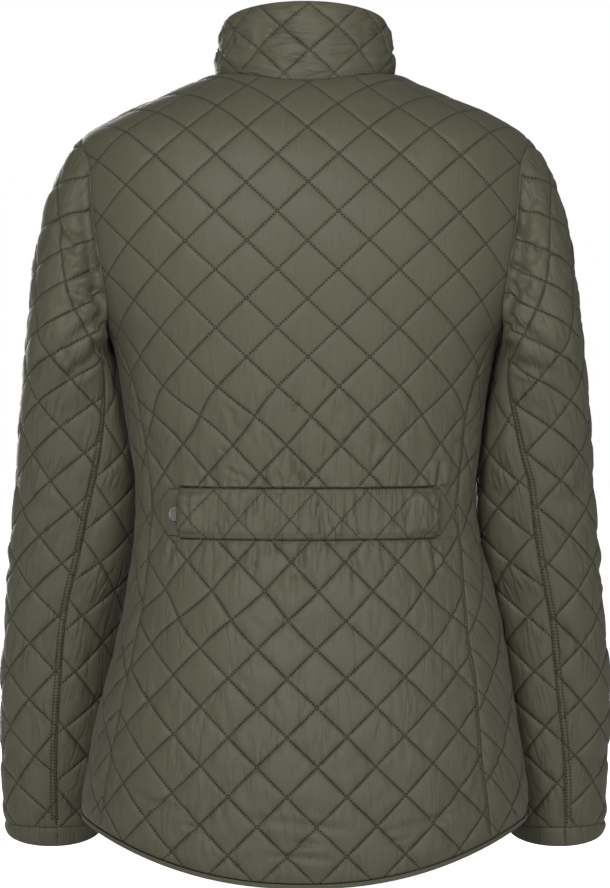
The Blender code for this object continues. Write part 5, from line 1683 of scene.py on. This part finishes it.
for word, side in SIDES:
    end, tip = CASING_U[(side + 1) // 2], TIP_U[side]
    corner = waist_flat(TAB_CORNERS[side], WAIST_LEVEL)[0]
    inner, step = end - side * TONGUE, end + side * TAB_STEP
    half = [(inner, TONGUE_HALF), (step, TONGUE_HALF), (step, TAB_HALF), (corner, TAB_HALF)]
    outline = [(u, -v) for u, v in half] + [(tip, 0)] + half[::-1]
    tabs[word] = sew(
        "waist_tab_piece_" + word,
        BACK,
        outlined(np.array(outline[::side]) + (0, WAIST_V)),
        tab_relief,
        step=1.8,
        floor=lambda u, v: LAID_GAP + 0 * u,
    )

# %% The bound hem
BINDING_HEIGHT, BINDING_PROUD, BINDING_WALL, BINDING_DOWN = 3.8, 0.8, 0.7, 0.6
STRIP, STRIP_STEP = 11.2, 1.9  # the strip's width, and how much of it each point of the fold takes
FOLD = [(1, 0), (1, 0.82), (0.72, 1), (0.28, 1), (0, 0.82), (0, -0.8)]  # its section, from outside to inside


def binding_section():
    """The fold's outer line and its inner one, as (out, down) from the hem's edge."""
    out, back, low = BINDING_PROUD, -WALL - BINDING_PROUD, BINDING_HEIGHT
    outer = [(back + (out - back) * x, BINDING_DOWN + low * y) for x, y in FOLD]
    wall = BINDING_WALL
    room = out - back - 2 * wall
    inner = [(back + wall + room * x, BINDING_DOWN + (low - wall) * y) for x, y in FOLD[::-1]]
    return np.array(outer + inner)


def bound_hem():
    parts = [seam("hem_right", True), seam("hem_back", False), seam("hem_left", True, sunk=True)]
    line, lean = joined([part.places for part in parts]), joined([part.lean for part in parts])
    down = unit(np.cross(unit(np.gradient(line, axis=0)), lean))
    down *= np.where(down[:, 2] > 0, -1, 1)[:, None]
    section, run = binding_section(), lengths(line)
    pucker = 0.12 * np.sin(run * 1.5 + 2 * uneven(run, 0 * run, 12, 95))
    half = len(section) // 2
    points, cloth = [], []
    for k, (a, b) in enumerate(section):
        swell = pucker if k < half else 0 * pucker
        points.append(line + lean * (a + swell * np.sign(a + 1))[:, None] + down * b)
        across_strip = STRIP_STEP * (k if k < half else len(section) - 1 - k)
        cloth.append(np.stack([run, np.full(len(run), across_strip)], axis=1))
    n, m = len(run), len(section)
    faces = [
        (k * n + i, k * n + i + 1, (k + 1) % m * n + i + 1, (k + 1) % m * n + i)
        for k in range(m)
        for i in range(n - 1)
    ]
    faces += [tuple(k * n for k in range(m)), tuple(k * n + n - 1 for k in reversed(range(m)))]
    maps = {"cloth": np.concatenate(cloth) * METRES, "seam": np.ones((n * m, 2))}
    made = cloth_mesh("hem_binding_strip", np.concatenate(points), faces, maps, 50)
    CUTS[made.name] = (run[-1] * METRES, STRIP * METRES, run[-1] * METRES * STRIP * METRES)
    return made


binding = bound_hem()
print("the bound hem is", round(CUTS["hem_binding_strip"][0], 3), "m long")

# %% [markdown]
# ## The snaps
# Each snap is a pressed metal cap: a low drum with a rolled rim and a shallow dish. It starts from a
# cylinder, whose top is inset and pushed down in edit mode, and a bevel rounds its rim. It is
# modelled lying flat and then turned onto the cloth, because a turned shape is hard to work on.

# %% One cap, and its copies
SNAPS = {"tab": (6.4, 2.2), "front": (6.5, 2.0)}  # radius and height
FRONT_SNAP_TOP, FRONT_SNAP_FOOT, FRONT_SNAPS = 122.0, -405.0, 6


def choose_faces(mesh, wanted):
    """Selects in edit mode only the faces that a test picks."""
    bpy.ops.mesh.select_all(action="DESELECT")
    bpy.ops.object.mode_set(mode="OBJECT")
    for face in mesh.polygons:
        face.select = wanted(face)
    bpy.ops.object.mode_set(mode="EDIT")


def snap_cap(name, radius, height):
    bpy.ops.object.select_all(action="DESELECT")
    bpy.ops.mesh.primitive_cylinder_add(vertices=40, radius=radius * METRES, depth=height * METRES)
    made = bpy.context.object
    made.name = made.data.name = name
    bpy.ops.object.mode_set(mode="EDIT")
    bpy.ops.mesh.select_mode(type="FACE")
    is_top = lambda face: face.normal.z > 0.9 and face.center.z > 0
    choose_faces(made.data, is_top)
    for thickness, push in ((0.18, 0.0), (0.05, -0.16), (0.30, -0.03), (0.12, 0.05)):
        bpy.ops.mesh.inset(thickness=thickness * radius * METRES)
        bpy.ops.transform.translate(value=(0, 0, push * height * METRES))
    bpy.ops.object.mode_set(mode="OBJECT")
    rim = made.modifiers.new("rim", "BEVEL")
    rim.width, rim.segments, rim.limit_method, rim.angle_limit = 0.55 * METRES, 3, "ANGLE", math.radians(50)
    bpy.ops.object.modifier_apply(modifier="rim")
    bpy.ops.object.shade_smooth_by_angle(angle=math.radians(35))
    return made


def sit(made, cloth, at, rise):
    """Turns a cap onto the cloth and applies its place."""
    u, v = (np.array([x]) for x in at)
    place, normal = cloth.place(u, v)[0], cloth.normal(u, v)[0]
    made.rotation_euler = Vector(normal).to_track_quat("Z", "Y").to_euler()
    made.location = (place + normal * rise) * METRES
    bpy.ops.object.select_all(action="DESELECT")
    made.select_set(True)
    bpy.context.view_layer.objects.active = made
    bpy.ops.object.transform_apply(location=True, rotation=True, scale=True)


snaps = {}
for word, side in SIDES:
    radius, height = SNAPS["tab"]
    snaps["tab_snap_" + word] = snap_cap("tab_cap_" + word, radius, height)
    rise = 2 * LAID_GAP + TAB_WALL + height / 2
    sit(snaps["tab_snap_" + word], BACK, waist_flat(TAB_SNAPS[side], WAIST_LEVEL), rise)
for k, v in enumerate(np.linspace(FRONT_SNAP_TOP, FRONT_SNAP_FOOT, FRONT_SNAPS), 1):
    radius, height = SNAPS["front"]
    snaps[f"front_snap_{k}"] = snap_cap(f"front_cap_{k}", radius, height)
    sit(snaps[f"front_snap_{k}"], FRONT, (0.0, v), LAID_GAP + height / 2)
print("caps:", len(snaps))

# %% [markdown]
# ## Materials
# The cloth is a fine nylon with a soft satin sheen and faint vertical slubs. Its stitches are dark
# pricks in a groove, three millimetres apart. The shade in those grooves, in the wrinkles and along
# the sewn edges is painted into its colour. An image texture would be too coarse for a whole
# jacket, so they are drawn by the shader from the UV maps, and stay sharp from any distance. What
# more than one cloth uses is a node group, built once.

# %% Helpers for nodes
def feed(tree, made, inputs):
    """Joins sockets or plain values to a node's inputs, by their names or numbers."""
    for name, source in inputs.items():
        if isinstance(source, bpy.types.NodeSocket):
            tree.links.new(source, made.inputs[name])
        elif source is not None:
            made.inputs[name].default_value = source


def node(tree, kind, *sources, **settings):
    """Adds a shader node and feeds its inputs in their order."""
    made = tree.nodes.new("ShaderNode" + kind)
    for name, value in settings.items():
        setattr(made, name, value)
    feed(tree, made, dict(enumerate(sources)))
    return made


def maths(tree, operation, *sources):
    return node(tree, "Math", *sources, operation=operation).outputs[0]


def times(tree, a, b):
    return maths(tree, "MULTIPLY", a, b)


def away(tree, source, middle):
    """How far a source is from a middle."""
    return maths(tree, "ABSOLUTE", maths(tree, "SUBTRACT", source, middle))


def spread(tree, source, start, end, first=1.0, last=0.0, kind="SMOOTHSTEP"):
    """From first to last while the source goes from start to end."""
    return node(tree, "MapRange", source, start, end, first, last, interpolation_type=kind).outputs[0]


def group(name, inputs, outputs):
    """An empty node group with its sockets, and its input and output nodes. Its outputs are values."""
    made = bpy.data.node_groups.new(name, "ShaderNodeTree")
    for way, sockets in (("INPUT", inputs), ("OUTPUT", dict.fromkeys(outputs, "Float"))):
        for socket, kind in sockets.items():
            made.interface.new_socket(name=socket, in_out=way, socket_type="NodeSocket" + kind)
    return made, made.nodes.new("NodeGroupInput"), made.nodes.new("NodeGroupOutput")


def use(tree, made, **inputs):
    """Places a group in a material."""
    placed = tree.nodes.new("ShaderNodeGroup")
    placed.node_tree = made
    feed(tree, placed, inputs)
    return placed


print("node helpers ready")

# %% Groups: one row of stitches, and the quilting
STITCH = 3.0  # the length of a stitch, in millimetres
PARTS = ("Prick", "Groove")  # of a row: where the needle went in, and the groove along the row


def row_group():
    """From how far off the row a point is, in millimetres, and how far along it, in stitches."""
    tree, given, result = group("row of stitches", {"Off": "Float", "Along": "Float"}, PARTS)
    off, along = given.outputs["Off"], maths(tree, "FRACT", given.outputs["Along"])
    along = times(tree, maths(tree, "SUBTRACT", along, 0.5), STITCH)
    far = maths(tree, "SQRT", maths(tree, "ADD", *(maths(tree, "POWER", x, 2.0) for x in (along, off))))
    # Groove is a soft band along the row: a nylon sinks it a little as a bump and darkens it as painted shade.
    feed(tree, result, {"Prick": spread(tree, far, 0.6, 1.15), "Groove": spread(tree, off, 0.0, 2.2)})
    return tree


def quilting_group():
    """The two families of quilting stitches, read from the map that counts their lines."""
    sockets = {"Lines": "Vector", "Apart": "Float", "Stitches": "Float"}
    tree, given, result = group("quilting", sockets, PARTS)
    lines, apart, stitches = (given.outputs[name] for name in sockets)
    a, b = node(tree, "SeparateXYZ", lines).outputs[:2]
    rows = []
    for count, other in ((a, b), (b, a)):
        off = times(tree, away(tree, count, maths(tree, "ROUND", count)), apart)
        rows.append(use(tree, ROW, Off=off, Along=times(tree, other, stitches)))
    for part in PARTS:
        feed(tree, result, {part: maths(tree, "MAXIMUM", *(row.outputs[part] for row in rows))})
    return tree


ROW = row_group()
QUILTING = quilting_group()
print("groups:", [made.name for made in bpy.data.node_groups])


# %% Groups: topstitching and the weave
def topstitch_group():
    """Two rows beside a seam, and a painted shadow at its edge, read from the map of the seams (metres)."""
    sockets = {"Seam": "Vector", "First": "Float", "Second": "Float"}
    tree, given, result = group("topstitching", sockets, (*PARTS, "Edge"))
    run, far = node(tree, "SeparateXYZ", given.outputs["Seam"]).outputs[:2]
    far = times(tree, far, 1 / METRES)
    off = maths(tree, "MINIMUM", *(away(tree, far, given.outputs[name]) for name in ("First", "Second")))
    row = use(tree, ROW, Off=off, Along=times(tree, run, 1 / METRES / STITCH))
    feed(tree, result, {part: row.outputs[part] for part in PARTS})
    # Edge is painted shadow along a sewn edge: full within 0.3 mm of it, and gone 1.3 mm away.
    feed(tree, result, {"Edge": spread(tree, far, 0.3, 1.3)})
    return tree


def weave_group():
    """Faint slubs up the cloth, its fine grain, wide soft patches, and small wrinkles in places."""
    tree, given, result = group("nylon weave", {"Cloth": "Vector"}, ("Slub", "Grain", "Patch", "Wrinkle"))

    def noise(stretch, scale, detail, rough):
        place = given.outputs["Cloth"]
        if stretch:
            place = node(tree, "Mapping", place, None, None, (*stretch, 1.0)).outputs[0]
        return node(tree, "TexNoise", place, None, scale, detail, rough).outputs[0]

    # Wrinkle marks the troughs of small wrinkles; a nylon takes it as a bump and as painted shade.
    line = spread(tree, away(tree, noise((88.0, 19.0), 1.0, 2.0, 0.45), 0.5), 0.0, 0.085)
    where = spread(tree, noise(None, 31.0, 1.0, 0.5), 0.36, 0.60, 0.0, 1.0)
    feed(tree, result, {
        "Slub": noise((900.0, 38.0), 1.0, 3.0, 0.6),
        "Grain": noise((2600.0, 2600.0), 1.0, 2.0, 0.5),
        "Patch": noise(None, 22.0, 2.0, 0.5),
        "Wrinkle": times(tree, line, where),
    })
    return tree


TOPSTITCH, WEAVE = topstitch_group(), weave_group()
print("groups:", [made.name for made in bpy.data.node_groups])


# %% Beginning a material, mixing colours, and bumps
def blank(name):
    """A new material, its nodes and its shader."""
    made = bpy.data.materials.new(name)
    made.use_nodes = True
    return made, made.node_tree, made.node_tree.nodes["Principled BSDF"]


def mixed(tree, factor, first, second):
    """A colour between two, which are sockets or three numbers each."""
    made = node(tree, "Mix", data_type="RGBA")
    first, second = (c if isinstance(c, bpy.types.NodeSocket) else (*c, 1) for c in (first, second))
    feed(tree, made, {0: factor, 6: first, 7: second})
    return made.outputs[2]


def bumpy(tree, height, distance, strength):
    """The normal of a surface with a height."""
    made = node(tree, "Bump")
    feed(tree, made, {"Height": height, "Distance": distance, "Strength": strength})
    return made.outputs[0]


print("ready to mix and bump")


# %% A nylon cloth
def nylon(name, colour, apart=None, stitches=12.0, top=1.0, lines=1.0, rows=(1.7, 5.2), turn=0.0):
    """A nylon cloth. apart is how far apart its quilting lines are, if it is quilted.

    top and lines weaken its topstitching and its quilting, rows say how far from a seam the
    topstitching is, and turn turns its weave.
    """
    made, tree, shader = blank(name)

    def uv(layer):
        return node(tree, "UVMap", uv_map=layer).outputs[0]

    def shade(share):
        return tuple(c * share for c in colour)

    turned = node(tree, "Mapping", uv("cloth"), None, (0.0, 0.0, turn)).outputs[0]
    slub, grain, patch, wrinkle = use(tree, WEAVE, Cloth=turned).outputs
    wrinkle = times(tree, wrinkle, node(tree, "SeparateXYZ", uv("wear")).outputs[0])
    beside = use(tree, TOPSTITCH, Seam=uv("seam"), First=rows[0], Second=rows[1])
    prick, groove = (times(tree, beside.outputs[part], top) for part in PARTS)
    if apart:
        quilt = use(tree, QUILTING, Lines=uv("quilt"), Apart=apart, Stitches=stitches)
        drawn = [times(tree, quilt.outputs[part], lines) for part in PARTS]
        prick, groove = (maths(tree, "MAXIMUM", *both) for both in zip((prick, groove), drawn))
    body = mixed(tree, slub, shade(0.78), shade(1.22))
    # The patches are the cloth's own tone and the pricks are its stitches. The groove along each row, the troughs of
    # the wrinkles and the last millimetre beside a sewn edge are painted shade: they darken the colour where shade
    # would fall.
    darker = [  # what darkens the cloth, how much, and to what share of its colour
        (patch, 0.35, 0.8), (groove, 0.22, 0.35), (wrinkle, 0.24, 0.35),
        (beside.outputs["Edge"], 0.75, 0.35), (prick, 0.52, 0.12),
    ]
    for factor, share, dark in darker:
        body = mixed(tree, times(tree, factor, share), body, shade(dark))
    height = times(tree, slub, 0.10)
    for factor, share in ((grain, 0.05), (groove, -0.18), (prick, -0.45), (wrinkle, -1.0)):
        height = maths(tree, "ADD", height, times(tree, factor, share))
    feed(tree, shader, {
        "Base Color": body,
        "Roughness": spread(tree, slub, 0.3, 0.7, 0.47, 0.59, "LINEAR"),
        "Sheen Weight": 0.06,
        "Sheen Roughness": 0.45,
        "Specular IOR Level": spread(tree, prick, 0.0, 1.0, 0.22, 0.0, "LINEAR"),
        "Normal": bumpy(tree, height, 0.0008, 0.9),
    })
    return made


print("one nylon for every kind of cloth on the jacket")

# %% The cloths
OLIVE, PLAIN_OLIVE = (0.108, 0.103, 0.068), (0.104, 0.100, 0.068)
quilted = nylon("quilted nylon", OLIVE, BACK_QUILT.apart)
collar_nylon = nylon(
    "quilted nylon of the collar", OLIVE, COLLAR_QUILT.apart, 10.0, lines=0.8, turn=math.pi / 2
)
gathered = nylon("gathered nylon", OLIVE, CASING_QUILT.apart, top=0.22, lines=0.85, rows=(1.2, 3.9))
plain_nylon = nylon("plain nylon", PLAIN_OLIVE)
# The tabs have no topstitching, only the painted shadow along their sewn edges.
tab_nylon = nylon("plain nylon of the tabs", PLAIN_OLIVE, top=0.0)
print("cloths:", [made.name for made in (quilted, collar_nylon, gathered, plain_nylon, tab_nylon)])


# %% The metal
def metal():
    """Brushed silver, with fine scratches and a little wear."""
    made, tree, shader = blank("snap metal")
    place = node(tree, "TexCoord").outputs["Object"]
    place = node(tree, "Mapping", place, None, None, (900.0, 900.0, 5200.0)).outputs[0]
    scratch = node(tree, "TexNoise", place).outputs[0]
    feed(tree, shader, {
        "Base Color": mixed(tree, scratch, (0.24, 0.24, 0.22), (0.44, 0.44, 0.41)),
        "Roughness": spread(tree, scratch, 0.3, 0.7, 0.44, 0.6, "LINEAR"),
        "Metallic": 1.0,
        "Normal": bumpy(tree, scratch, 0.0002, 0.4),
    })
    return made


SNAP_METAL = metal()
print("and", SNAP_METAL.name)

# %% [markdown]
# ## Which solid each piece stands for
# Every piece takes the place of one of the model's solids, rides on its body, and says how large the
# cloth was cut.

# %% Dressing the frame
CLOTHS = [  # piece, the solid it stands for, its finish, its slot, how it is held, cut over laid width
    (back, "back", quilted, "quilted_nylon", "hung", 1.0),
    (front_left, "front_left", quilted, "quilted_nylon", "hung", 1.0),
    (front_right, "front_right", quilted, "quilted_nylon", "hung", 1.0),
    (collar, "collar", collar_nylon, "quilted_nylon", "hung", 1.0),
    (sleeves["left"], "sleeve_left", quilted, "quilted_nylon", "hung", 1.0),
    (sleeves["right"], "sleeve_right", quilted, "quilted_nylon", "hung", 1.0),
    (cuffs["left"], "cuff_band_left", plain_nylon, "plain_nylon", "hung", 1.0),
    (cuffs["right"], "cuff_band_right", plain_nylon, "plain_nylon", "hung", 1.0),
    (casing, "waist_casing", gathered, "quilted_nylon", "gathered", 1.3),
    (tabs["left"], "waist_tab_left", tab_nylon, "plain_nylon", "hung", 1.0),
    (tabs["right"], "waist_tab_right", tab_nylon, "plain_nylon", "hung", 1.0),
    (binding, "hem_binding", plain_nylon, "plain_nylon", "hung", 1.0),
]
for piece, solid, finish, slot, held, fuller in CLOTHS:
    piece.data.materials.append(finish)
    piece.data.materials.append(plain_nylon)
    wide, long, area = CUTS[piece.name]
    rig.ride(piece, "root")
    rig.replaces(piece, solid)
    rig.slot(piece, slot)
    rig.sheet(piece, flat=(wide * fuller, long), held=held, area=area * fuller)
for solid, cap in snaps.items():
    cap.data.materials.append(SNAP_METAL)
    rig.ride(cap, "root")
    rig.replaces(cap, solid)
    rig.slot(cap, "snap")
print("pieces:", len(CLOTHS) + len(snaps))

# %% [markdown]
# ## The floor, the light and the camera
# The jacket stands over a plain pale floor, in the even light of a white room. A large soft light
# comes from beside the camera, so that each diamond has a lit side and a shaded one, and a second
# fills the other side. A third lights the front, for views from there. The camera is level with
# the middle of the jacket, behind it, and far enough away for its lines to stay nearly parallel.

# %% The floor
def plain_floor():
    low = min(corner[2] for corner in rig.bounds())
    bpy.ops.object.select_all(action="DESELECT")
    bpy.ops.mesh.primitive_plane_add(size=60.0, location=(0, 0, low - 0.002))
    made = bpy.context.object
    made.name = "floor"
    bpy.ops.object.transform_apply(location=True, rotation=True, scale=True)
    finish, tree, shader = blank("pale floor")
    feed(tree, shader, {
        "Base Color": (0.90, 0.90, 0.90, 1),
        "Roughness": 0.9,
        "Emission Color": (1, 1, 1, 1),
        "Emission Strength": node(tree, "LightPath").outputs["Is Camera Ray"],
    })
    made.data.materials.append(finish)
    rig.stage(made)


plain_floor()
print("the floor lies under the hem")

# %% The lights and the room
LIGHTS = [  # where it stands, its width, its power
    ((0.65, 2.95, 1.1), 0.7, 57.0),
    ((-1.4, 3.0, 0.5), 1.0, 26.0),
    ((0.8, -3.6, 0.3), 2.0, 120.0),
]
TARGET = Vector((0.0, 0.0, -0.32))
ROOM_LIGHT = 0.14  # what the white walls give, beside the lamps


def area_light(at, width, power):
    lamp = bpy.data.lights.new("soft light", "AREA")
    lamp.size, lamp.energy = width, power
    made = bpy.data.objects.new("soft light", lamp)
    made.location = at
    made.rotation_euler = (TARGET - Vector(at)).to_track_quat("-Z", "Y").to_euler()
    bpy.context.collection.objects.link(made)


for light in LIGHTS:
    area_light(*light)
world = bpy.context.scene.world or bpy.data.worlds.new("white room")
bpy.context.scene.world = world
world.use_nodes = True
tree = world.node_tree
seen = node(tree, "LightPath").outputs["Is Camera Ray"]
strength = spread(tree, seen, 0.0, 1.0, ROOM_LIGHT, 1.0, "LINEAR")
feed(tree, tree.nodes["Background"], {"Color": (1, 1, 1, 1), "Strength": strength})
bpy.context.scene.view_settings.view_transform = "Standard"
print("lights:", len(LIGHTS))

# %% Camera
EYE, VIEW_HEIGHT = Vector((0.0, 4.0, -0.323)), 0.781  # the height seen at the jacket's middle
lens = bpy.data.cameras.new("camera")
lens.sensor_fit, lens.sensor_height = "VERTICAL", 36.0
lens.lens = lens.sensor_height * EYE.y / VIEW_HEIGHT
camera = bpy.data.objects.new("camera", lens)
camera.location, camera.rotation_euler = EYE, (math.radians(90), 0, math.radians(180))
bpy.context.collection.objects.link(camera)
bpy.context.scene.camera = camera
print("lens:", round(lens.lens, 1), "mm")

# %% [markdown]
# ## The end
# The sizes of the model's box and of the dressed jacket's box are kept side by side, so that they
# can be compared.

# %% Sizes, and the count of faces
as_lists = lambda box: [[float(x) for x in corner] for corner in box]
with open("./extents.json", "w") as out:
    json.dump({"cad": as_lists(CAD_BOX), "visual": as_lists(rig.bounds())}, out)
faces = sum(len(o.data.polygons) for o in bpy.data.objects if o.type == "MESH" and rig.alive(o))
print("faces in all:", faces)
